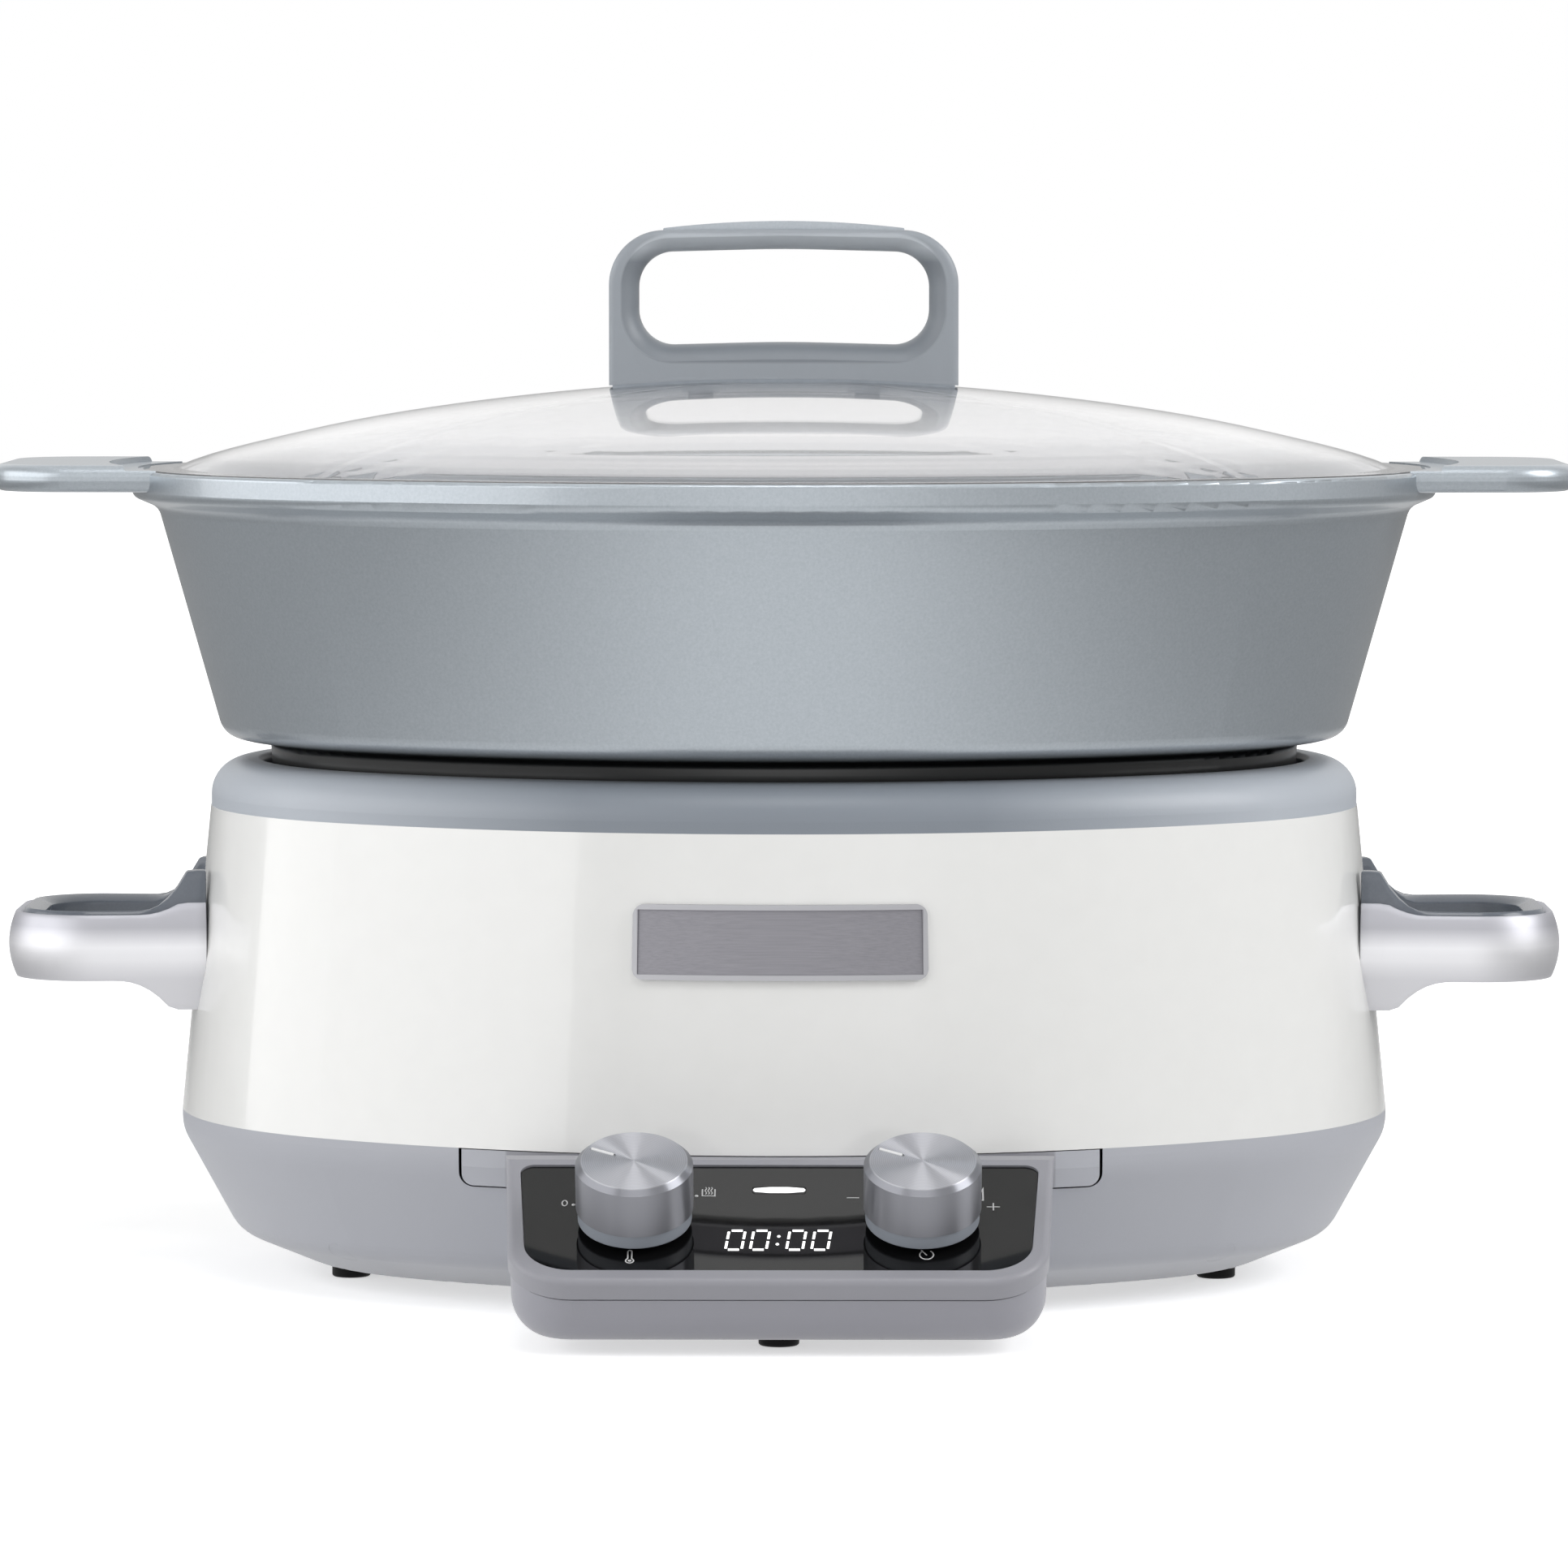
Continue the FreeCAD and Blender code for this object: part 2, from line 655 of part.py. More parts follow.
big = pot_lip_half * 2
knob_slope = -cells.knob_drop
knob_places = (("selector", -cells.knob_x), ("timer", cells.knob_x))
foot_places = [
    ("front_foot", Size("0", 0), foot_front_y),
    ("left_foot", -foot_side_x, cells.foot_side_y),
    ("right_foot", foot_side_x, cells.foot_side_y),
    ("rear_left_foot", -foot_rear_x, foot_rear_y),
    ("rear_right_foot", foot_rear_x, foot_rear_y),
]
post_half = ring_opening + cells.pan_flange + cells.fit_gap * 2 + cells.post_radius
post_x = cells.end_centre + (post_half - cells.end_centre) * cosine(cells.post_angle)
post_y = (post_half - cells.end_centre) * sine(cells.post_angle)
post_places = [(post_x, post_y), (-post_x, post_y), (-post_x, -post_y), (post_x, -post_y)]

# Lower housing: the console's tray first, then the oval tub and its floor

housing = new_body("lower_housing")
tray_border = cells.bezel_border - cells.tray_inset
tray_front = bezel_front - cells.tray_inset
tray_rear_slope = (panel_front - tray_rear) / cosine(cells.panel_tilt)
tray = draw_outline(
    panel_sketch(housing, "tray_outline", -cells.bezel_depth - cells.tray_gap),
    console_outline(tray_border, tray_rear_slope, tray_front),
)
tray_block = pad(housing, "tray_block", tray, big, reverse=True)
below = draw_outline(
    new_sketch(housing, "tray_underside", "XY_Plane", cells.tray_height),
    rectangle(-big, -big, big, big),
)
tray_base = pocket(housing, "tray_base", below)
behind = draw_outline(
    new_sketch(housing, "tray_back", "XY_Plane", 0),
    rectangle(-big, -tray_rear, big, big),
)
tray_trim = pocket(housing, "tray_trim", behind, both_ways=True)
tray_level = cells.tray_height.value
tray_back_y = -tray_rear.value


def on_tray_underside(edge):
    box_of = edge.BoundBox
    level = abs(box_of.ZMax - tray_level) < 0.01
    return level and box_of.YMin < tray_back_y - 0.1


tray_rounded = round_edges(housing, "tray_rounded", tray_trim, cells.tray_round, on_tray_underside)
document.recompute()
tilt_normal = Vector(0, -math.sin(math.radians(cells.panel_tilt.value)),
                     math.cos(math.radians(cells.panel_tilt.value)))
open_faces = []
for number, face in enumerate(tray_rounded.Shape.Faces, start=1):
    normal = face.normalAt(0, 0)
    if normal.distanceToPoint(tilt_normal) < 0.01 or normal.distanceToPoint(Vector(0, 1, 0)) < 0.01:
        open_faces.append(f"Face{number}")
tray_shell = housing.newObject("PartDesign::Thickness", "tray_shell")
tray_shell.Base = (tray_rounded, open_faces)
tray_shell.Reversed = True
tray_shell.Join = "Intersection"
bind(tray_shell, "Value", cells.housing_wall)

lip_outer = shell_half_at(cells.seam_height + cells.lip_height) - cells.shell_wall - cells.running_gap
tub_rim_inner = lip_outer - cells.lip_wall
tub_profile = draw_outline(new_sketch(housing, "tub_profile", "XZ_Plane"), [
    (cells.shell_bottom_half, cells.seam_height),
    (cells.shell_bottom_half, rim_height, 14),
    (slope_half, cells.slope_height, 12),
    (floor_half, cells.floor_height, 8),
    (floor_half * 0.75, cells.floor_height),
    (floor_half * 0.75, cells.floor_height + cells.housing_wall),
    (floor_half - cells.housing_wall * 0.2, cells.floor_height + cells.housing_wall, 8),
    (slope_half - cells.housing_wall * 0.7, cells.slope_height + cells.housing_wall * 0.8, 10),
    (tub_rim_inner, rim_height + cells.housing_wall * 0.25, 12),
    (tub_rim_inner, cells.seam_height + cells.lip_height),
    (tub_rim_inner + cells.lip_wall, cells.seam_height + cells.lip_height),
    (tub_rim_inner + cells.lip_wall, cells.seam_height),
])
tub_spine = oval_sketch(housing, "tub_spine", shell_top_half, 0)
sweep(housing, "tub_wall", tub_profile, tub_spine)
tub_floor = oval_sketch(housing, "tub_floor_outline", floor_half * 0.78, cells.floor_height)
pad(housing, "tub_floor", tub_floor, cells.housing_wall)
inside_half = cells.panel_top_width - cells.housing_wall - cells.bezel_wall
passage = draw_outline(
    new_sketch(housing, "passage_outline", "XY_Plane", cells.tray_height + cells.housing_wall + 1),
    rectangle(-inside_half, -panel_front - 22, inside_half, -tray_rear + 25),
)
pocket(housing, "passage", passage, big, reverse=True)
wing_bottom = cells.seam_height - cells.running_gap - cells.wing_height
notch_half = cells.wing_reach + cells.wing_end_gap
notch_bottom = wing_bottom - cells.wing_gap
notch_corner = cells.wing_corner + cells.wing_end_gap
notch = draw_outline(new_sketch(housing, "wing_notch_outline", "XZ_Plane", tray_rear), [
    (-notch_half, notch_bottom, notch_corner),
    (notch_half, notch_bottom, notch_corner),
    (notch_half, big),
    (-notch_half, big),
])
pocket(housing, "wing_notch", notch, big, reverse=True)
foot_bosses = new_sketch(housing, "foot_boss_outline", "XY_Plane", cells.foot_height)
draw_circles(foot_bosses, [(x, y, cells.foot_radius + 0.4) for name, x, y in foot_places])
pad(housing, "foot_bosses", foot_bosses, cells.floor_height + cells.housing_wall - cells.foot_height + 0.5)
foot_holes = new_sketch(housing, "foot_hole_outline", "XY_Plane", 0)
foot_hole_radius = cells.foot_stem_radius + cells.fit_gap
draw_circles(foot_holes, [(x, y, foot_hole_radius) for name, x, y in foot_places])
pocket(housing, "foot_holes", foot_holes, cells.slope_height, reverse=True)
screw_bosses = new_sketch(housing, "screw_boss_outline", "XY_Plane", cells.screw_seat - 1)
draw_circles(screw_bosses, [(x, y, cells.screw_boss) for x, y in post_places])
pad(housing, "screw_bosses", screw_bosses, 6)
screw_wells = new_sketch(housing, "screw_well_outline", "XY_Plane", 0)
draw_circles(screw_wells, [(x, y, cells.screw_head + 0.5) for x, y in post_places])
pocket(housing, "screw_wells", screw_wells, cells.screw_seat + 1, reverse=True)
screw_holes = new_sketch(housing, "screw_hole_outline", "XY_Plane", 0)
screw_hole_radius = cells.screw_radius + cells.fit_gap
draw_circles(screw_holes, [(x, y, screw_hole_radius) for x, y in post_places])
pocket(housing, "screw_holes", screw_holes, cells.seam_height, reverse=True)
gland_boss = new_sketch(housing, "gland_boss_outline", "XZ_Plane", -gland_face)
draw_circles(gland_boss, [(0, cells.gland_height, cells.gland_flange + 1)])
pad(housing, "gland_boss", gland_boss, 22)
gland_hole = new_sketch(housing, "gland_hole_outline", "XZ_Plane", -gland_face)
draw_circles(gland_hole, [(0, cells.gland_height, cells.gland_neck + cells.fit_gap)])
pocket(housing, "gland_hole", gland_hole, 40, reverse=True)
vent = draw_outline(
    new_sketch(housing, "vent_outline", "XY_Plane", cells.floor_height),
    rectangle(-cells.vent_length / 2, -cells.vent_width * 7.5, cells.vent_length / 2,
              -cells.vent_width * 6.5, cells.vent_width * 0.49),
)
first_vent = pocket(housing, "first_vent", vent, cells.housing_wall, reverse=True)
vents = housing.newObject("PartDesign::LinearPattern", "vents")
vents.Originals = [first_vent]
vents.Direction = (vent, ["V_Axis"])
vents.Mode = "Spacing"
bind(vents, "Offset", cells.vent_pitch)
vents.Occurrences = 4
housing.Tip = vents
board_posts = new_sketch(housing, "board_post_outline", "XY_Plane", cells.floor_height + 1)
board_post_x = cells.power_board_length / 2 - 6
board_post_y = cells.power_board_depth / 2 - 6
power_posts = [
    (board_post_x, cells.power_board_y + board_post_y),
    (-board_post_x, cells.power_board_y + board_post_y),
    (-board_post_x, cells.power_board_y - board_post_y),
    (board_post_x, cells.power_board_y - board_post_y),
]
draw_circles(board_posts, [(x, y, 3.5) for x, y in power_posts])
pad(housing, "board_posts", board_posts, cells.power_board_height - cells.floor_height - 1)

# Rubber feet, each with a stem in the housing's floor

for name, x, y in foot_places:
    foot = new_body(name)
    half_profile = new_sketch(foot, f"{name}_profile", "XZ_Plane")
    draw_outline(half_profile, [
        (0, 0),
        (cells.foot_radius, 0, 0.8),
        (cells.foot_radius, cells.foot_height),
        (cells.foot_stem_radius, cells.foot_height),
        (cells.foot_stem_radius, cells.floor_height + cells.housing_wall),
        (0, cells.floor_height + cells.housing_wall),
    ])
    turn(foot, f"{name}_form", half_profile)
    place(foot, x, y)

# White outer shell

shell = oval_ring("outer_shell", [
    (cells.shell_bottom_half, cells.seam_height),
    (shell_top_half, shell_top),
    (shell_top_half - cells.shell_wall, shell_top),
    (cells.shell_bottom_half - cells.shell_wall, cells.seam_height),
], shell_top_half)
handle_screw_y = (cells.handle_root_width * 2 + cells.handle_half_width) / 3 - cells.handle_band / 2
handle_screw_z = cells.handle_bottom + cells.handle_height / 2
shell_holes = new_sketch(shell, "handle_screw_holes", "YZ_Plane")
draw_circles(shell_holes, [
    (handle_screw_y, handle_screw_z, screw_hole_radius),
    (-handle_screw_y, handle_screw_z, screw_hole_radius),
])
pocket(shell, "handle_screw_drilling", shell_holes, both_ways=True)

# Grey top ring, an upside-down channel with a lip inside the shell

ring_inner = ring_half - cells.ring_wall - 0.7
oval_ring("top_ring", [
    (ring_half, shell_top),
    (ring_half, ring_top, cells.ring_round),
    (ring_opening, ring_top, 2),
    (ring_opening, ring_skirt_bottom),
    (ring_opening + cells.ring_wall, ring_skirt_bottom),
    (ring_opening + cells.ring_wall, ring_top - cells.ring_wall, 0.5),
    (ring_inner, ring_top - cells.ring_wall, 6),
    (ring_inner, shell_top - cells.lip_height),
    (ring_inner + cells.lip_wall, shell_top - cells.lip_height),
    (ring_inner + cells.lip_wall, shell_top),
], shell_top_half)

# Tie posts and housing screws

post_bottom = cells.screw_seat + 5
post_height = ring_top - cells.ring_wall - 0.5 - post_bottom
posts = []
screws = []
for number, (x, y) in enumerate(post_places, start=1):
    rod = cylinder(f"post_rod_{number}", cells.post_radius, post_height, x, y, post_bottom)
    drill = cylinder(f"post_drill_{number}", screw_hole_radius, 14, x, y, post_bottom)
    posts.append(cut(f"post_{number}", rod, drill))
    head = cylinder(f"screw_head_{number}", cells.screw_head, 2.4, x, y, cells.screw_seat - 1.4)
    shank = cylinder(f"screw_shank_{number}", cells.screw_radius, 16, x, y, cells.screw_seat)
    screws.append(fused(f"housing_screw_{number}", [head, shank]))
group("tie_posts", posts)
group("housing_screws", screws)

# Inner pan

pan_outer = ring_opening + cells.pan_wall
pan = oval_ring("inner_pan", [
    (ring_opening - 18, pan_floor),
    (pan_outer, pan_floor, 4),
    (pan_outer, ring_skirt_bottom - cells.pan_wall),
    (ring_opening + cells.pan_flange, ring_skirt_bottom - cells.pan_wall),
    (ring_opening + cells.pan_flange, ring_skirt_bottom),
    (ring_opening, ring_skirt_bottom),
    (ring_opening, pan_floor + cells.pan_wall, 3),
    (ring_opening - 18, pan_floor + cells.pan_wall),
], shell_top_half)
pan_base = oval_sketch(pan, "pan_base_outline", ring_opening - 14, pan_floor)
pad(pan, "pan_base", pan_base, cells.pan_wall)

# Heating plate with a rib that grips the element, and a hole for the sensor

plate = new_body("heating_plate")
plate_outline = oval_sketch(plate, "plate_outline", plate_half, plate_bottom)
pad(plate, "plate_slab", plate_outline, cells.plate_thick)
rib_half = cells.element_rib / 2
rib = draw_outline(new_sketch(plate, "rib_profile", "XZ_Plane"), rectangle(
    element_half - rib_half, element_height - 0.5,
    element_half + rib_half, plate_bottom + 1,
))
rib_spine = oval_sketch(plate, "rib_spine", element_half, element_height)
sweep(plate, "element_rib", rib, rib_spine)
groove_profile = new_sketch(plate, "groove_profile", "XZ_Plane")
tube_clear = cells.element_radius + cells.fit_gap
draw_circles(groove_profile, [(element_half, element_height, tube_clear)])
groove_spine = oval_sketch(plate, "groove_spine", element_half, element_height)
sweep(plate, "element_groove", groove_profile, groove_spine, "SubtractivePipe")
sensor_hole = new_sketch(plate, "sensor_hole_outline", "XY_Plane", plate_top)
draw_circles(sensor_hole, [(0, 0, cells.sensor_radius + cells.running_gap)])
pocket(plate, "sensor_hole", sensor_hole)

# Heating element: a tube with a gap at the rear, and two ends turned down there

element = new_body("heating_element")
tube_profile = new_sketch(element, "tube_profile", "XZ_Plane")
draw_circles(tube_profile, [(element_half, element_height, cells.element_radius)])
tube_spine = oval_sketch(element, "tube_spine", element_half, element_height)
sweep(element, "tube", tube_profile, tube_spine)
element_rear = element_half - oval_loss
gap_outline = draw_outline(
    new_sketch(element, "gap_outline", "XY_Plane", element_height),
    rectangle(-cells.element_break / 2, 0, cells.element_break / 2, big),
)
pocket(element, "gap", gap_outline, both_ways=True)
ends = new_sketch(element, "end_outline", "XY_Plane", element_height)
end_x = cells.element_break / 2 + cells.element_radius
end_y = element_rear - (end_x * end_x) / ((element_rear + cells.side_centre) * 2)
draw_circles(ends, [
    (end_x, end_y, cells.element_radius - 0.2),
    (-end_x, end_y, cells.element_radius - 0.2),
])
end_length = element_height - pan_floor - cells.pan_wall
pad(element, "cold_ends", ends, end_length, reverse=True)

standoffs = []
for side in (1, -1):
    for depth in (1, -1):
        standoffs.append(cylinder(
            f"standoff_{len(standoffs) + 1}", cells.standoff_radius,
            plate_bottom - pan_floor - cells.pan_wall,
            standoff_x * side, cells.standoff_y * depth, pan_floor + cells.pan_wall,
        ))
group("plate_standoffs", standoffs)
sensor_height = plate_top - pan_floor - cells.pan_wall
sensor_stem = cylinder("sensor_stem", cells.sensor_radius * 0.6, sensor_height,
                       z=pan_floor + cells.pan_wall)
sensor_cap = cylinder("sensor_cap", cells.sensor_radius, cells.plate_thick + 4,
                      z=plate_bottom - 4)
fused("temperature_sensor", [sensor_stem, sensor_cap])
fuse_length = Size("22", 22)
fuse_can = cylinder("fuse_can", 3, fuse_length, standoff_x * 0.45, -fuse_length / 2, plate_bottom - 3)
fuse_can.Placement.Rotation = FreeCAD.Rotation(Vector(1, 0, 0), -90)
fuse_clip = box("fuse_clip", Size("9", 9), Size("12", 12), Size("3.5", 3.5),
                standoff_x * 0.45, Size("0", 0), plate_bottom - 3.5)
fused("thermal_fuse", [fuse_can, fuse_clip])

# Base handles: a loop in plan, trimmed to the waisted outline that the front shows

handle = new_body("left_handle")
handle_top = cells.handle_bottom + cells.handle_height
root_bottom = cells.handle_bottom - cells.handle_root_drop
root_top = handle_top + cells.handle_root_rise
root_x = shell_top_half - cells.handle_height - cells.handle_band
handle_middle = (root_top + root_bottom) / 2
loop = new_sketch(handle, "loop_outline", "XY_Plane", handle_middle)
draw_outline(loop, [
    (-root_x, cells.handle_root_width, cells.handle_band * 1.4),
    (-handle_reach, cells.handle_half_width, cells.handle_corner),
    (-handle_reach, -cells.handle_half_width, cells.handle_corner),
    (-root_x, -cells.handle_root_width, cells.handle_band * 1.4),
])
barrel_half = (root_top - root_bottom) / 2
barrel_rest = root(cells.handle_barrel * cells.handle_barrel - barrel_half * barrel_half)
barrel_sag = cells.handle_barrel - barrel_rest
barrel_peak = cells.handle_barrel * cells.handle_barrel / barrel_rest - cells.handle_barrel
loop_section = new_sketch(handle, "loop_section", "XZ_Plane")
draw_outline(loop_section, [
    (-handle_reach + cells.handle_band, root_bottom),
    (-handle_reach + cells.handle_band, root_top),
    (-handle_reach + barrel_sag, root_top),
    (-handle_reach - barrel_peak, handle_middle, cells.handle_barrel * 0.97),
    (-handle_reach + barrel_sag, root_bottom),
])
sweep(handle, "loop", loop_section, loop)
root_outer = shell_half_at(handle_top)
waist_top = new_sketch(handle, "waist_top_outline", "XZ_Plane")
upper_root = root_outer + cells.handle_root_length
draw_outline(waist_top, [
    (-upper_root + 0.5, root_top + 1),
    (-upper_root, root_top, cells.handle_root_length),
    (-upper_root - cells.handle_root_run, handle_top, cells.handle_root_curve),
    (-handle_reach - 12, handle_top),
    (-handle_reach - 12, root_top + 1),
])
pocket(handle, "waist_top", waist_top, both_ways=True)
waist_bottom = new_sketch(handle, "waist_bottom_outline", "XZ_Plane")
lower_root = root_outer + cells.handle_foot_length
draw_outline(waist_bottom, [
    (-lower_root + 0.8, root_bottom - 1),
    (-lower_root, root_bottom, 1),
    (-lower_root - cells.handle_foot_run, cells.handle_bottom, cells.handle_foot_curve),
    (-handle_reach - 12, cells.handle_bottom),
    (-handle_reach - 12, root_bottom - 1),
])
pocket(handle, "waist_bottom", waist_bottom, both_ways=True)
seat_top = shell_top
seat_bottom = cells.seam_height
seat = new_sketch(handle, "shell_seat_profile", "XZ_Plane", 0, -cells.end_centre)
draw_outline(seat, [
    (0, seat_bottom),
    (cells.end_centre - cells.shell_bottom_half, seat_bottom),
    (cells.end_centre - shell_top_half, seat_top),
    (0, seat_top),
])
turn(handle, "shell_seat", seat, 360, "Groove")
handle_drill = new_sketch(handle, "screw_drill_outline", "YZ_Plane", -root_outer - 14)
draw_circles(handle_drill, [
    (handle_screw_y, handle_screw_z, screw_hole_radius),
    (-handle_screw_y, handle_screw_z, screw_hole_radius),
])
pocket(handle, "screw_drill", handle_drill, big, reverse=True)
right_handle = document.addObject("Part::Mirroring", "right_handle")
right_handle.Label = "right_handle"
right_handle.Source = handle
right_handle.Normal = Vector(1, 0, 0)
handle_screws = []
seat_radius = shell_half_at(handle_screw_z) - cells.end_centre
seat_x = cells.end_centre + root(seat_radius * seat_radius - handle_screw_y * handle_screw_y)
for side in (1, -1):
    for depth in (1, -1):
        number = len(handle_screws) + 1
        pieces = [
            cylinder(f"handle_screw_head_{number}", cells.screw_head, 2.4,
                     (seat_x - 5.4) * side, handle_screw_y * depth, handle_screw_z),
            cylinder(f"handle_screw_shank_{number}", cells.screw_radius, 15,
                     (seat_x - 5) * side, handle_screw_y * depth, handle_screw_z),
        ]
        for piece in pieces:
            piece.Placement.Rotation = FreeCAD.Rotation(Vector(0, 1, 0), 90 * side)
        handle_screws.append(fused(f"handle_screw_{number}", pieces))
group("handle_screws", handle_screws)

# Badge plate, curved and leaning with the front of the shell

badge = new_body("badge_plate")
badge_top = cells.badge_middle + cells.badge_height / 2
badge_bottom = cells.badge_middle - cells.badge_height / 2
front_radius = arc_reach - cells.end_centre


def badge_radius(height, proud):
    """Distance of a badge point from the front arc's centre, as a sketch coordinate."""
    return -(front_radius + shell_half_at(height) + proud)


def badge_section(name, bottom, top, inner, outer):
    section = new_sketch(badge, name, "YZ_Plane", 0, cells.side_centre)
    return draw_outline(section, [
        (badge_radius(bottom, inner), bottom),
        (badge_radius(top, inner), top),
        (badge_radius(top, outer), top),
        (badge_radius(bottom, outer), bottom),
    ])


badge_span = front_radius + shell_half_at(cells.badge_middle)
degrees = 180 / math.pi
badge_form = turn(
    badge, "badge_form",
    badge_section("badge_profile", badge_bottom, badge_top, cells.running_gap, cells.badge_thick),
    cells.badge_width / badge_span * degrees,
)


def badge_corner_edge(edge):
    size = edge.BoundBox
    return size.ZLength < 0.5 and size.DiagonalLength < cells.badge_thick.value + 0.5


round_edges(badge, "badge_corners", badge_form, cells.badge_corner, badge_corner_edge)
turn(
    badge, "badge_field",
    badge_section("badge_field_profile", badge_bottom + cells.badge_rim, badge_top - cells.badge_rim,
                  cells.badge_thick - cells.badge_recess, cells.badge_thick + 1),
    (cells.badge_width - cells.badge_rim * 2) / badge_span * degrees,
    "Groove",
)

# Control bezel: a tilted frame with a recess for the glass, joined to a curved strip
# under the shell's edge whose ends are the wings

bezel = new_body("control_bezel")
bezel_outline = draw_outline(
    panel_sketch(bezel, "bezel_outline", -cells.bezel_depth),
    console_outline(cells.bezel_border, cells.bezel_rear, bezel_front),
)
slab = pad(bezel, "bezel_slab", bezel_outline, cells.bezel_depth + cells.bezel_proud)
panel_normal = tilt_normal


def on_bezel_top(edge):
    """Edges of the slab's upper face, without its rear edge."""
    rise = cells.bezel_proud.value
    slope = Vector(0, math.cos(math.radians(cells.panel_tilt.value)),
                   math.sin(math.radians(cells.panel_tilt.value)))
    origin = Vector(0, -panel_front.value, panel_height.value)
    for vertex in edge.Vertexes:
        if abs((vertex.Point - origin).dot(panel_normal) - rise) > 0.01:
            return False
    middle = edge.CenterOfMass - origin
    return middle.dot(slope) < cells.bezel_rear.value - 0.1


round_edges(bezel, "bezel_rounded", slab, cells.bezel_edge, on_bezel_top)
bezel_top = cells.seam_height - cells.running_gap
above = draw_outline(
    new_sketch(bezel, "bezel_top_outline", "XY_Plane", bezel_top),
    rectangle(-big, -big, big, big),
)
pocket(bezel, "bezel_top_trim", above, reverse=True)
wing_section = new_sketch(bezel, "wing_profile", "YZ_Plane", 0, cells.side_centre)
wing_outer = front_radius + cells.shell_bottom_half
slope_run = (cells.shell_bottom_half - slope_half) / (rim_height - cells.slope_height)
wing_tuck = (rim_height - wing_bottom) * slope_run * 0.55
draw_outline(wing_section, [
    (-wing_outer, bezel_top),
    (-wing_outer, rim_height + 0.5),
    (-wing_outer + wing_tuck, wing_bottom),
    (-wing_outer + wing_tuck + cells.housing_wall, wing_bottom),
    (-wing_outer + cells.housing_wall, rim_height + 0.5),
    (-wing_outer + cells.housing_wall, bezel_top),
])
wing_angle = cells.wing_reach * 2 / wing_outer * degrees * 1.04
turn(bezel, "wings", wing_section, wing_angle)
wing_ends = new_sketch(bezel, "wing_end_outline", "XZ_Plane", tray_rear)
wing_foot = cells.wing_reach - cells.wing_corner * 1.2
for side in (1, -1):
    draw_outline(wing_ends, [
        (wing_foot * side, wing_bottom - 1),
        (wing_foot * side, wing_bottom),
        (cells.wing_reach * side, wing_bottom, cells.wing_corner),
        (cells.wing_reach * side, bezel_top + 1),
        ((cells.wing_reach + 20) * side, bezel_top + 1),
        ((cells.wing_reach + 20) * side, wing_bottom - 1),
    ])
pocket(bezel, "wing_ends", wing_ends, big, reverse=True)
bezel_inside = draw_outline(
    panel_sketch(bezel, "bezel_hollow_outline", -cells.bezel_depth),
    console_outline(cells.bezel_border - cells.bezel_wall, cells.bezel_rear - 6,
                    bezel_front - cells.bezel_wall),
)
shelf_bottom = cells.panel_thick + cells.bezel_shelf
pocket(bezel, "bezel_hollow", bezel_inside, cells.bezel_depth - shelf_bottom, reverse=True)
glass_recess = draw_outline(
    panel_sketch(bezel, "glass_recess_outline", -cells.panel_thick),
    glass_outline(cells.panel_gap),
)
pocket(bezel, "glass_recess", glass_recess, big, reverse=True)
openings = panel_sketch(bezel, "panel_openings", -cells.panel_thick)
neck_hole = cells.neck_radius + cells.running_gap
draw_circles(openings, [(x, knob_slope, neck_hole) for name, x in knob_places])
lens_half = cells.lens_width / 2
display_half = cells.display_width / 2
draw_outline(openings, rectangle(
    -lens_half - cells.panel_gap, -cells.lens_drop - cells.lens_height / 2 - cells.panel_gap,
    lens_half + cells.panel_gap, -cells.lens_drop + cells.lens_height / 2 + cells.panel_gap,
))
draw_outline(openings, rectangle(
    -display_half - cells.panel_gap,
    -cells.display_drop - cells.display_height / 2 - cells.panel_gap,
    display_half + cells.panel_gap,
    -cells.display_drop + cells.display_height / 2 + cells.panel_gap,
))
pocket(bezel, "panel_opening_cuts", openings, cells.bezel_shelf + 0.1)
board_x = cells.board_half_width - cells.board_boss - 1
board_near = -cells.board_start - cells.board_boss - 1
board_far = -cells.board_start - cells.board_length + cells.board_boss + 1
board_corners = [
    (board_x, board_near), (-board_x, board_near), (-board_x, board_far), (board_x, board_far),
]
bosses = panel_sketch(bezel, "board_boss_outline", -cells.panel_thick - 1)
draw_circles(bosses, [(x, y, cells.board_boss) for x, y in board_corners])
pad(bezel, "board_bosses", bosses, cells.board_drop - cells.panel_thick - 1, reverse=True)
boss_drill = panel_sketch(bezel, "boss_drill_outline", -cells.board_drop)
draw_circles(boss_drill, [(x, y, 1.25 + cells.fit_gap.value) for x, y in board_corners])
pocket(bezel, "boss_drill", boss_drill, 6, reverse=True)

# Control glass, lens, display and board, modelled flat and placed on the tilted panel


def panel_body(name, x=0, slope=0, rise=0):
    body = new_body(name, placed=False)
    place_on_panel(body, x, slope, rise)
    return body


glass = panel_body("control_glass")
glass_sheet = draw_outline(
    new_sketch(glass, "glass_outline", "XY_Plane", -cells.panel_thick),
    glass_outline(Size("0", 0)),
)
pad(glass, "glass_sheet", glass_sheet, cells.panel_thick)
glass_holes = new_sketch(glass, "glass_hole_outline")
draw_circles(glass_holes, [(x, knob_slope, cells.shaft_radius + 0.6) for name, x in knob_places])
draw_outline(glass_holes, rectangle(
    -lens_half - cells.fit_gap, -cells.lens_drop - cells.lens_height / 2 - cells.fit_gap,
    lens_half + cells.fit_gap, -cells.lens_drop + cells.lens_height / 2 + cells.fit_gap,
    cells.lens_height * 0.3,
))
pocket(glass, "glass_holes", glass_holes)

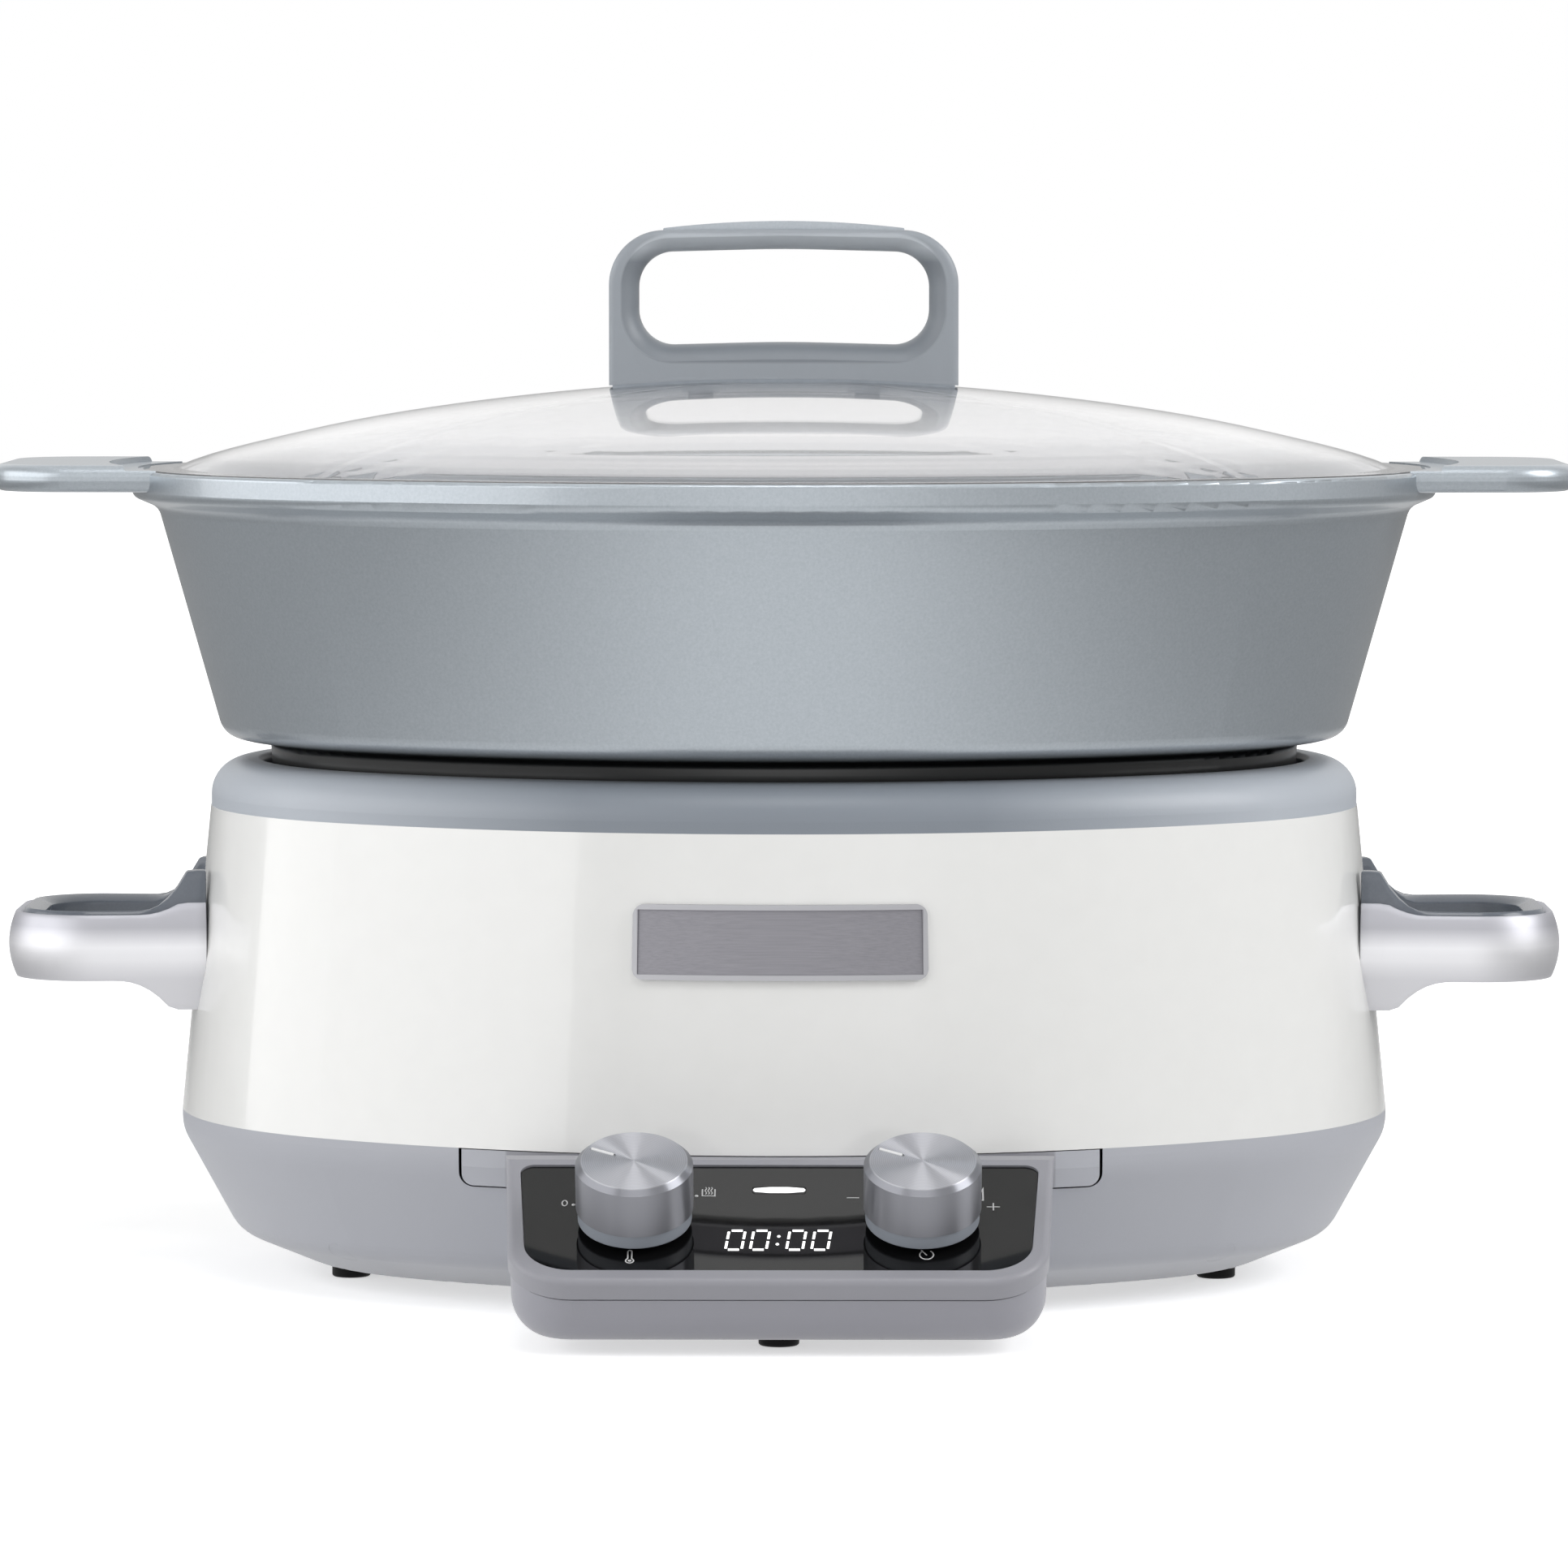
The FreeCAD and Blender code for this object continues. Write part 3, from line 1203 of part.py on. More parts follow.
lens = panel_body("indicator_lens")
lens_face = draw_outline(
    new_sketch(lens, "lens_outline", "XY_Plane"),
    rectangle(-lens_half, -cells.lens_drop - cells.lens_height / 2,
              lens_half, -cells.lens_drop + cells.lens_height / 2, cells.lens_height * 0.3),
)
pad(lens, "lens_bar", lens_face, cells.board_drop, reverse=True)

display = panel_body("display_module")
display_face = draw_outline(
    new_sketch(display, "display_outline", "XY_Plane", -cells.panel_thick),
    rectangle(-display_half, -cells.display_drop - cells.display_height / 2,
              display_half, -cells.display_drop + cells.display_height / 2),
)
pad(display, "display_block", display_face, cells.board_drop - cells.panel_thick, reverse=True)

board = panel_body("control_board")
board_face = draw_outline(
    new_sketch(board, "board_outline", "XY_Plane", -cells.board_drop),
    rectangle(-cells.board_half_width, -cells.board_start - cells.board_length,
              cells.board_half_width, -cells.board_start, 2),
)
pad(board, "board_sheet", board_face, cells.board_thick, reverse=True)
board_holes = new_sketch(board, "board_hole_outline", "XY_Plane", -cells.board_drop)
draw_circles(board_holes, [(x, y, 1.25 + cells.fit_gap.value) for x, y in board_corners])
pocket(board, "board_holes", board_holes)
board_screws = []
for number, (x, y) in enumerate(board_corners, start=1):
    screw = panel_body(f"board_screw_{number}", x, y, -cells.board_drop - cells.board_thick)
    screw_profile = new_sketch(screw, f"board_screw_profile_{number}", "XZ_Plane")
    draw_outline(screw_profile, [
        (0, -1.8), (2.5, -1.8), (2.5, 0), (1.25, 0), (1.25, 6), (0, 6),
    ])
    turn(screw, f"board_screw_form_{number}", screw_profile)
    board_screws.append(screw)
group("board_screws", board_screws)

# Selector switch and timer encoder, with their shafts and knobs

case_names = {"selector": "selector_switch", "timer": "timer_encoder"}
for name, x in knob_places:
    case = panel_body(case_names[name], x, knob_slope)
    half = cells.switch_width / 2
    footprint = draw_outline(
        new_sketch(case, f"{name}_case_outline", "XY_Plane", -cells.board_drop),
        rectangle(-half, -half, half, half, 1),
    )
    pad(case, f"{name}_case", footprint, cells.switch_height)
    neck = new_sketch(case, f"{name}_neck_outline", "XY_Plane", -cells.board_drop + 1)
    draw_circles(neck, [(0, 0, cells.neck_radius)])
    pad(case, f"{name}_neck", neck, cells.board_drop - cells.panel_thick - cells.running_gap - 1)
    bore = new_sketch(case, f"{name}_bore_outline", "XY_Plane", -cells.panel_thick)
    draw_circles(bore, [(0, 0, cells.shaft_radius + cells.shaft_gap)])
    pocket(case, f"{name}_bore", bore, cells.board_drop - cells.panel_thick - 2)

    shaft = panel_body(f"{name}_shaft", x, knob_slope)
    rod = new_sketch(shaft, f"{name}_rod_outline", "XY_Plane", -cells.board_drop + 2 + cells.running_gap)
    draw_circles(rod, [(0, 0, cells.shaft_radius)])
    rod_top = cells.knob_gap + cells.skirt_height + cells.shaft_grip
    pad(shaft, f"{name}_rod", rod, rod_top + cells.board_drop - 2 - cells.running_gap)

    hub_bore = cells.shaft_radius + cells.fit_gap
    skirt_top = cells.knob_gap + cells.skirt_height
    skirt_radius = cells.knob_radius - cells.skirt_inset
    skirt = panel_body(f"{name}_knob_skirt", x, knob_slope)
    skirt_profile = new_sketch(skirt, f"{name}_skirt_profile", "XZ_Plane")
    draw_outline(skirt_profile, [
        (hub_bore, cells.knob_gap),
        (skirt_radius, cells.knob_gap, 0.5),
        (skirt_radius, skirt_top),
        (hub_bore, skirt_top),
    ])
    turn(skirt, f"{name}_skirt", skirt_profile)

    cap = panel_body(f"{name}_knob_cap", x, knob_slope)
    cap_profile = new_sketch(cap, f"{name}_cap_profile", "XZ_Plane")
    cap_top = skirt_top + cells.cap_height
    draw_outline(cap_profile, [
        (0, rod_top + cells.running_gap),
        (hub_bore, rod_top + cells.running_gap),
        (hub_bore, skirt_top),
        (cells.knob_radius, skirt_top),
        (cells.knob_radius, cap_top - cells.knob_chamfer),
        (cells.knob_radius - cells.knob_chamfer, cap_top),
        (0, cap_top),
    ])
    turn(cap, f"{name}_cap", cap_profile)
    pointer = new_sketch(cap, f"{name}_pointer_outline", "XY_Plane", cap_top)
    pointer.AttachmentOffset = FreeCAD.Placement(
        Vector(), FreeCAD.Rotation(Vector(0, 0, 1), -cells.pointer_turn.value))
    pointer.setExpression("AttachmentOffset.Rotation.Angle", formula_of(-cells.pointer_turn))
    pointer_end = -cells.knob_radius + cells.knob_chamfer + 1
    draw_outline(pointer, rectangle(
        pointer_end, -cells.groove_width / 2, pointer_end + cells.groove_length,
        cells.groove_width / 2, cells.groove_width * 0.45,
    ))
    pocket(cap, f"{name}_pointer", pointer, cells.groove_depth)

# Power board with its larger components, on posts of the housing's floor

board_top = cells.power_board_height + cells.board_thick
power_board = box("power_board", cells.power_board_length, cells.power_board_depth,
                  cells.board_thick, Size("0", 0), cells.power_board_y, cells.power_board_height)
power_board.Label = "power_board"
transformer = box("transformer", Size("28", 28), Size("24", 24), Size("22", 22),
                  -cells.power_board_length / 4, cells.power_board_y, board_top)
transformer.Label = "transformer"
relay = box("power_relay", Size("19", 19), Size("16", 16), Size("15.5", 15.5),
            cells.power_board_length / 4, cells.power_board_y, board_top)
relay.Label = "power_relay"

# Cord gland in the rear wall

gland = new_body("cord_gland")
gland_profile = new_sketch(gland, "gland_profile", "XY_Plane", cells.gland_height)
draw_outline(gland_profile, [
    (cells.gland_bore, gland_face - 18),
    (cells.gland_neck, gland_face - 18),
    (cells.gland_neck, gland_face),
    (cells.gland_flange, gland_face),
    (cells.gland_flange, gland_face + 2.5, 1),
    (cells.gland_bore, gland_face + 2.5),
])
turn(gland, "gland_form", gland_profile)

# Cooking pot: wall with lip and lid seat swept along the oval, floor, and two lugs

shoulder_height = plate_top + cells.pot_foot_height
shoulder_half = pot_foot_half + cells.pot_shoulder
shoulder_top = shoulder_height + cells.pot_shoulder_rise
lip_bottom = pot_top - cells.pot_lip_face
ledge_outer = pot_lip_half - cells.pot_lip_wall
ledge_inner = ledge_outer - cells.pot_ledge_width
inside_floor = plate_top + cells.pot_floor
pot = oval_ring("pot_casting", [
    (pot_foot_half - 25, plate_top),
    (pot_foot_half, plate_top, 2.5),
    (pot_foot_half + 0.8, shoulder_height, 2),
    (shoulder_half, shoulder_top, 7),
    (pot_wall_half, lip_bottom - 3.5, 5),
    (pot_lip_half, lip_bottom, 3),
    (pot_lip_half, pot_top, 1.2),
    (ledge_outer, pot_top, 0.6),
    (ledge_outer, pot_ledge),
    (ledge_inner, pot_ledge, 1.5),
    (pot_wall_half - cells.pot_wall * 1.05, lip_bottom - 5, 20),
    (shoulder_half - cells.pot_wall, shoulder_top + cells.pot_wall * 0.97, 5),
    (pot_foot_half - cells.pot_wall * 0.9, shoulder_height + cells.pot_wall * 0.95, 5),
    (pot_foot_half - cells.pot_wall * 1.5, inside_floor, 6),
    (pot_foot_half - 25, inside_floor),
], shell_top_half)
pot_floor_outline = oval_sketch(pot, "pot_floor_outline", pot_foot_half - 20, plate_top)
pad(pot, "pot_floor_disc", pot_floor_outline, cells.pot_floor)
lug_top = pot_top + cells.lug_rise
lug_bottom = lug_top - cells.lug_thick
lug = new_body("left_lug")
lug_back = pot_lip_half - cells.lug_run
lug_outline = draw_outline(new_sketch(lug, "lug_outline", "XY_Plane", lug_bottom), [
    (-lug_back, cells.lug_root_width),
    (-lug_reach, cells.lug_end_width, cells.lug_corner),
    (-lug_reach, -cells.lug_end_width, cells.lug_corner),
    (-lug_back, -cells.lug_root_width),
])
lug_slab = pad(lug, "lug_slab", lug_outline, cells.lug_thick)
lug_levels = (lug_top.value, lug_bottom.value)


def on_lug_rim(edge):
    size = edge.BoundBox
    level = size.ZLength < 0.01 and min(abs(size.ZMax - z) for z in lug_levels) < 0.01
    return level and size.XMin < lug_back.value * -1 - 0.1


lug_rounded = round_edges(lug, "lug_rounded", lug_slab, cells.lug_edge, on_lug_rim)
inside_lip = oval_sketch(lug, "inside_lip_outline", ledge_outer + 1, 0)
pocket(lug, "inside_lip", inside_lip, both_ways=True)
trough_floor = pot_top + cells.lug_trough_rise
trough = oval_sketch(lug, "trough_outline", pot_lip_half + cells.lug_trough, trough_floor)
pocket(lug, "trough", trough, big, reverse=True)
other_lug = document.addObject("Part::Mirroring", "right_lug")
other_lug.Source = lug
other_lug.Normal = Vector(1, 0, 0)
fused("cooking_pot", [pot, lug, other_lug])

# Glass lid: a flat flange and a dome lofted through ovals of falling size


def dome_loft(body, name, kind="AdditiveLoft", lift=0, inset=0):
    """A dome of similar ovals; their height follows one curve from the flange to the crown."""
    sections = []
    for share in (1, 0.97, 0.9, 0.75, 0.55, 0.3, 0.08):
        rise = (1 - share ** 1.9) ** 0.85
        half = (dome_half - inset) * share
        height = lid_flange_top + cells.dome_height * rise + lift
        scale = half / lid_half
        sections.append(oval_sketch(body, f"{name}_{len(sections)}", half, height, scale))
    result = feature(body, kind, name, sections[0])
    result.Sections = sections[1:]
    return result


lid = new_body("lid_glass")
flange = oval_sketch(lid, "flange_outline", lid_half, pot_ledge)
pad(lid, "flange_disc", flange, cells.glass_thick)
dome_loft(lid, "dome_outside")
dome_loft(lid, "dome_inside", "SubtractiveLoft", -cells.glass_thick, cells.glass_thick * 0.9)
lid_holes = new_sketch(lid, "lid_hole_outline", "XY_Plane", dome_top + 1)
lid_screw_hole = cells.lid_screw_radius + cells.fit_gap
lid_screw_places = (cells.lid_screw_x, -cells.lid_screw_x)
draw_circles(lid_holes, [(x, 0, lid_screw_hole) for x in lid_screw_places])
pocket(lid, "lid_holes", lid_holes, cells.dome_height)

# Lid handle: a loop with a wide bevel round its opening, trimmed to the dome

dome_form = new_body("dome_form")
dome_loft(dome_form, "dome_form_loft")
gasket_form = new_body("gasket_form")
dome_loft(gasket_form, "gasket_form_loft", "AdditiveLoft", cells.gasket_thick)
grip = new_body("grip_form")
grip_half = cells.lid_grip_width / 2
grip_base = dome_top - 5
grip_outline = draw_outline(new_sketch(grip, "grip_outline", "XZ_Plane"), [
    (-grip_half, grip_base),
    (grip_half, grip_base),
    (grip_half, grip_top - cells.lid_grip_crown, cells.lid_grip_corner),
    (0, grip_top + cells.lid_grip_crown / 4, cells.lid_grip_arch),
    (-grip_half, grip_top - cells.lid_grip_crown, cells.lid_grip_corner),
])
grip_block = pad(grip, "grip_block", grip_outline, cells.lid_grip_depth, both_ways=True)
grip_level = grip_base.value
grip_side = cells.lid_grip_depth.value / 2


def on_grip_outline(edge):
    """Edges of the handle's front and back faces, without the bottom edges."""
    size = edge.BoundBox
    on_face = size.YLength < 0.01 and abs(abs(size.YMax) - grip_side) < 0.01
    return on_face and size.ZMax > grip_level + 0.1


grip_rounded = round_edges(grip, "grip_rounded", grip_block, cells.lid_grip_edge, on_grip_outline)
hole_half = cells.lid_hole_width / 2
hole_bottom = dome_top + cells.lid_hole_bottom
hole_top = hole_bottom + cells.lid_hole_height


def arched_opening(border, upper_border):
    """The handle's opening, its upper and lower edges arched, grown by a border."""
    side = hole_half + border
    low = hole_bottom - border
    high = hole_top + upper_border
    corner = cells.lid_hole_corner + upper_border
    return [
        (-side, low, corner),
        (0, low + cells.lid_hole_arch, cells.lid_hole_curve),
        (side, low, corner),
        (side, high, corner),
        (0, high + cells.lid_hole_arch, cells.lid_hole_curve),
        (-side, high, corner),
    ]


grip_hole = draw_outline(
    new_sketch(grip, "grip_hole_outline", "XZ_Plane"),
    arched_opening(Size("0", 0), Size("0", 0)),
)
grip_opening = pocket(grip, "grip_opening", grip_hole, both_ways=True)
for side, word in ((1, "front"), (-1, "back")):
    sections = []
    for share, depth in ((1, 0), (cells.lid_bevel_hollow, 0.33), (0, 1)):
        border = cells.lid_bevel * share
        level = (cells.lid_grip_depth / 2 - cells.lid_bevel_depth * depth) * side
        sections.append(draw_outline(
            new_sketch(grip, f"{word}_bevel_{len(sections)}", "XZ_Plane", level),
            arched_opening(border, border * 0.8),
        ))
    bevel_cut = feature(grip, "SubtractiveLoft", f"{word}_bevel", sections[0])
    bevel_cut.Sections = sections[1:]
inlay_bottom = grip_top - cells.inlay_thick + cells.inlay_proud
recess = draw_outline(
    new_sketch(grip, "inlay_recess_outline", "XY_Plane", inlay_bottom),
    rectangle(-cells.inlay_length / 2 - cells.fit_gap, -cells.inlay_depth / 2 - cells.fit_gap,
              cells.inlay_length / 2 + cells.fit_gap, cells.inlay_depth / 2 + cells.fit_gap),
)
pocket(grip, "inlay_recess", recess, 10, reverse=True)
grip_drill = new_sketch(grip, "grip_drill_outline", "XY_Plane", grip_base)
draw_circles(grip_drill, [(x, 0, lid_screw_hole) for x in lid_screw_places])
pocket(grip, "grip_drill", grip_drill, 12, reverse=True)
cut("lid_handle", grip, gasket_form)

inlay = new_body("lid_handle_inlay")
inlay_end = cells.inlay_length / 2
inlay_top = grip_top + cells.inlay_proud
inlay_outline = draw_outline(new_sketch(inlay, "inlay_outline", "XZ_Plane"), [
    (-inlay_end, inlay_bottom),
    (inlay_end, inlay_bottom),
    (inlay_end, inlay_top - cells.inlay_crown, cells.inlay_corner),
    (0, inlay_top, cells.inlay_arch),
    (-inlay_end, inlay_top - cells.inlay_crown, cells.inlay_corner),
])
pad(inlay, "inlay_bar", inlay_outline, cells.inlay_depth, both_ways=True)

gasket_block = new_body("gasket_block")
gasket_outline = draw_outline(
    new_sketch(gasket_block, "gasket_outline", "XY_Plane", grip_base),
    rectangle(-grip_half + 1, -cells.lid_grip_depth / 2 + 1,
              grip_half - 1, cells.lid_grip_depth / 2 - 1, 3),
)
pad(gasket_block, "gasket_slab", gasket_outline, 9)
gasket_holes = new_sketch(gasket_block, "gasket_hole_outline", "XY_Plane", grip_base)
draw_circles(gasket_holes, [(x, 0, lid_screw_hole) for x in lid_screw_places])
pocket(gasket_block, "gasket_holes", gasket_holes, 20, reverse=True)
gasket_top = document.addObject("Part::Common", "gasket_top")
gasket_top.Base = gasket_block
gasket_top.Tool = gasket_form
cut("lid_handle_gasket", gasket_top, dome_form)

under_glass = dome_top - cells.glass_thick - cells.dome_height * 0.034
washers = []
lid_screws = []
for number, x in enumerate(lid_screw_places, start=1):
    disc = cylinder(f"washer_disc_{number}", cells.washer_radius, cells.washer_thick,
                    x, 0, under_glass - cells.washer_thick)
    drill = cylinder(f"washer_drill_{number}", lid_screw_hole, 4, x, 0, under_glass - 2)
    washers.append(cut(f"washer_{number}", disc, drill))
    head = cylinder(f"lid_screw_head_{number}", 4, 2.6, x, 0, under_glass - cells.washer_thick - 2.6)
    shank = cylinder(f"lid_screw_shank_{number}", cells.lid_screw_radius, 12, x, 0,
                     under_glass - cells.washer_thick - 1)
    lid_screws.append(fused(f"lid_screw_{number}", [head, shank]))
group("lid_handle_washers", washers)
group("lid_handle_screws", lid_screws)

# Check every sub-part and write its STEP file

NODES = [
    "lower_housing", "front_foot", "left_foot", "right_foot", "rear_left_foot", "rear_right_foot",
    "outer_shell", "top_ring", "tie_posts", "housing_screws", "inner_pan", "heating_plate",
    "heating_element", "plate_standoffs", "temperature_sensor", "thermal_fuse",
    "left_handle", "right_handle", "handle_screws", "badge_plate", "control_bezel",
    "control_glass", "indicator_lens", "display_module", "control_board", "board_screws",
    "selector_switch", "timer_encoder", "power_board", "transformer", "power_relay", "cord_gland",
    "selector_shaft", "selector_knob_skirt", "selector_knob_cap",
    "timer_shaft", "timer_knob_skirt", "timer_knob_cap",
    "cooking_pot", "lid_glass", "lid_handle", "lid_handle_inlay", "lid_handle_gasket",
    "lid_handle_washers", "lid_handle_screws",
]

document.recompute()
for thing in document.Objects:
    if "Invalid" in thing.State or "Error" in thing.State:
        raise RuntimeError(f"{thing.Name} did not build: {thing.State}")
os.makedirs("parts", exist_ok=True)
for name in NODES:
    shape = document.getObject(name).Shape
    if shape.isNull() or not shape.isValid() or not shape.Solids:
        raise RuntimeError(f"{name} has no valid solid")
    shape.exportStep(f"parts/{name}.step")
    size = shape.BoundBox
    print(f"{name}: {len(shape.Solids)} solid, {shape.Volume / 1000:.2f} cm3, "
          f"{size.XLength:.1f} x {size.YLength:.1f} x {size.ZLength:.1f}, z {size.ZMin:.1f}")
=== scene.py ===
# %% [markdown]
# # A slow cooker
# The cooker's solids come from the CAD model, in metres, already in place. This lesson gives
# them their finishes, adds what is too fine or too soft in form for the solids (the printed
# marks, the lit digits, the polished handles), and sets up the camera and the studio.

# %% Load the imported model
import math

import bpy
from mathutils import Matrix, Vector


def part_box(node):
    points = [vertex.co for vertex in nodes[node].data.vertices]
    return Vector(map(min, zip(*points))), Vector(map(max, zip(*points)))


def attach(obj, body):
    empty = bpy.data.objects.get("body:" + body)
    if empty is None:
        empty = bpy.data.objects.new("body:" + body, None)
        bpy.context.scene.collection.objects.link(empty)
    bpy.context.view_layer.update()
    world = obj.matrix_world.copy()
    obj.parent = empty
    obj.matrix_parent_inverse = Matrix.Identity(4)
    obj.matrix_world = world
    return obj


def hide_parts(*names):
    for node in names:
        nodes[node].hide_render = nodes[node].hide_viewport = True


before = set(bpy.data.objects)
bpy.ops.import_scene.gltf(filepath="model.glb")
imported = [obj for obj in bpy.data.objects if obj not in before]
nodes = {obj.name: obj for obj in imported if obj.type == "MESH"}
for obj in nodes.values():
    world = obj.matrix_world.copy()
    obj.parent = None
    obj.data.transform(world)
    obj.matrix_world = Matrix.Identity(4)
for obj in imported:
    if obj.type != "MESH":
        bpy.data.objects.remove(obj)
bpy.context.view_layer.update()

# %% [markdown]
# ## The camera
# The cooker is seen from the front, half a degree to the right of straight ahead and a little
# above the table, through a long lens: the horizon lies just above the lid's handle. A camera
# looks along its own -Z axis, so turning it 90 degrees less its elevation about X makes it look
# forward and slightly down. It aims at the middle of the ovals that pot, ring and base share.

# %% Camera
IMAGE_SIZE = 1932
FOCAL_PIXELS = 9825
SENSOR_WIDTH = 36
OVAL_MIDDLE = 0.02532
elevation = math.radians(4.07)
azimuth = math.radians(0.5)
target = (0.0, OVAL_MIDDLE, 0.1527)
distance = 2.5
level_distance = distance * math.cos(elevation)
bpy.ops.object.select_all(action="DESELECT")
bpy.ops.object.camera_add(
    location=(target[0] + level_distance * math.sin(azimuth),
              target[1] - level_distance * math.cos(azimuth),
              target[2] + distance * math.sin(elevation)),
    rotation=(math.radians(90) - elevation, 0, azimuth),
)
camera = bpy.context.object
camera.data.sensor_width = SENSOR_WIDTH
camera.data.lens = SENSOR_WIDTH * FOCAL_PIXELS / IMAGE_SIZE
bpy.context.scene.camera = camera
print("lens in mm:", round(camera.data.lens, 1))

# %% [markdown]
# ## Small functions for materials
# Colours are written as sRGB hex values, as they are read from a picture, and turned to the
# linear values that the shader works with. A material is a tree of nodes, and every tree here is
# built with the same few functions. Most of them add one node and hand on its output.

# %% Colours, nodes and materials


def linear(hex_colour):
    """An sRGB hex value as linear red, green, blue and alpha."""
    values = []
    for start in (1, 3, 5):
        share = int(hex_colour[start:start + 2], 16) / 255
        values.append(share / 12.92 if share <= 0.04045 else ((share + 0.055) / 1.055) ** 2.4)
    return (*values, 1.0)


def add_node(tree, kind, inputs=None, **settings):
    """Add a node, set its settings, and fill its inputs with values or with other outputs."""
    node = tree.nodes.new(kind)
    for name, value in settings.items():
        setattr(node, name, value)
    for name, value in (inputs or {}).items():
        if isinstance(value, bpy.types.NodeSocket):
            tree.links.new(value, node.inputs[name])
        else:
            node.inputs[name].default_value = value
    return node


def start_material(name):
    """A new material without nodes; returns it and its node tree."""
    material = bpy.data.materials.new(name)
    material.use_nodes = True
    material.node_tree.nodes.clear()
    return material, material.node_tree


def end_material(tree, shader):
    """Connect the finished shader to the material's output."""
    add_node(tree, "ShaderNodeOutputMaterial", {"Surface": shader})


def end_principled(tree, inputs):
    """End a material that is one Principled shader with these inputs."""
    end_material(tree, add_node(tree, "ShaderNodeBsdfPrincipled", inputs).outputs[0])


# %% Nodes that come up often


def calculate(tree, operation, first, second=0.0):
    """One step of arithmetic."""
    return add_node(tree, "ShaderNodeMath", {0: first, 1: second}, operation=operation).outputs[0]


def ramp(tree, value, start, stop, low=0.0, high=1.0):
    """low where the value is at start, high where it is at stop, and even in between."""
    return add_node(tree, "ShaderNodeMapRange", {
        "Value": value, "From Min": start, "From Max": stop,
        "To Min": low, "To Max": high}).outputs[0]


def blend(tree, share, first, second):
    """A mix of two colours, each a hex value or another node's output."""
    first, second = (linear(c) if isinstance(c, str) else c for c in (first, second))
    return add_node(tree, "ShaderNodeMix", {"Factor": share, 6: first, 7: second},
                    data_type="RGBA").outputs[2]


def object_place(tree):
    """The point that is being shaded, in metres from its object's origin."""
    return add_node(tree, "ShaderNodeTexCoord").outputs["Object"]


def split(tree, vector):
    """A vector's outputs X, Y and Z."""
    return add_node(tree, "ShaderNodeSeparateXYZ", {0: vector}).outputs


def hypotenuse(tree, first, second):
    """The length of a vector with these two parts."""
    vector = add_node(tree, "ShaderNodeCombineXYZ", {"X": first, "Y": second}).outputs[0]
    return add_node(tree, "ShaderNodeVectorMath", {0: vector}, operation="LENGTH").outputs["Value"]


def noise(tree, place, size, detail, roughness=0.5):
    """Noise from 0 to 1, in grains of a size in metres."""
    return add_node(tree, "ShaderNodeTexNoise", {
        "Vector": place, "Scale": 1 / size, "Detail": detail,
        "Roughness": roughness}).outputs["Fac"]


def relief(tree, height, strength, distance=0.0002):
    """Normals that make a height from 0 to 1 look like a relief of that distance."""
    return add_node(tree, "ShaderNodeBump", {
        "Height": height, "Strength": strength, "Distance": distance}).outputs[0]


# %% [markdown]
# ## The studio
# The cooker stands between two large softboxes, with a weak one in front and one over the table.
# The left one's mirror image makes the bright left part of the white shell. The world gives the
# light of pale walls, but rays from the camera, from glossy surfaces and through glass see it as
# plain white. Photographers hang grey flags outside the picture to give shiny things dark edges.
# Here mirrored rays see a greyer white beside the cooker, low behind it and high in front of it.
# A ray that has passed through glass counts as glossy too, so the test for a mirrored ray is
# glossy and not transmitted.

# %% World
# A flag's numbers say where it starts and where it is complete along a direction, in which 1 is
# straight that way, and how much white it takes at both places.
WALL_LIGHT = 0.3
FLAG_BESIDE = (0.4, 0.65, 0.0, 0.35)
FLAG_BEHIND = (0.2, 0.5, 0.0, 0.45)
FLAG_LOW = (0.05, 0.24, 1.0, 0.0)
FLAG_BEFORE = (-0.3, -0.55, 0.0, 0.35)
FLAG_HIGH = (0.4, 0.65, 0.0, 1.0)
world = bpy.data.worlds.new("white_studio")
bpy.context.scene.world = world
world.use_nodes = True
tree = world.node_tree
tree.nodes.clear()
path = add_node(tree, "ShaderNodeLightPath").outputs
seen = calculate(tree, "MAXIMUM", path["Is Camera Ray"], path["Is Glossy Ray"])
seen = calculate(tree, "MAXIMUM", seen, path["Is Transmission Ray"])
mirrored = calculate(tree, "GREATER_THAN", path["Is Glossy Ray"], path["Is Transmission Ray"])
towards = split(tree, add_node(tree, "ShaderNodeTexCoord").outputs["Generated"])
beside = ramp(tree, calculate(tree, "ABSOLUTE", towards["X"]), *FLAG_BESIDE)
low_behind = calculate(tree, "MULTIPLY", ramp(tree, towards["Y"], *FLAG_BEHIND),
                       ramp(tree, towards["Z"], *FLAG_LOW))
high_before = calculate(tree, "MULTIPLY", ramp(tree, towards["Y"], *FLAG_BEFORE),
                        ramp(tree, towards["Z"], *FLAG_HIGH))
flags = calculate(tree, "MAXIMUM", beside, low_behind)
flags = calculate(tree, "MAXIMUM", flags, high_before)
brightness = calculate(tree, "SUBTRACT", 1.0, calculate(tree, "MULTIPLY", flags, mirrored))
walls = add_node(tree, "ShaderNodeBackground", {
    "Color": linear("#FFFFFF"), "Strength": WALL_LIGHT})
white = add_node(tree, "ShaderNodeBackground", {
    "Color": linear("#FFFFFF"), "Strength": brightness})
mixed = add_node(tree, "ShaderNodeMixShader", {0: seen, 1: walls.outputs[0], 2: white.outputs[0]})
add_node(tree, "ShaderNodeOutputWorld", {"Surface": mixed.outputs[0]})

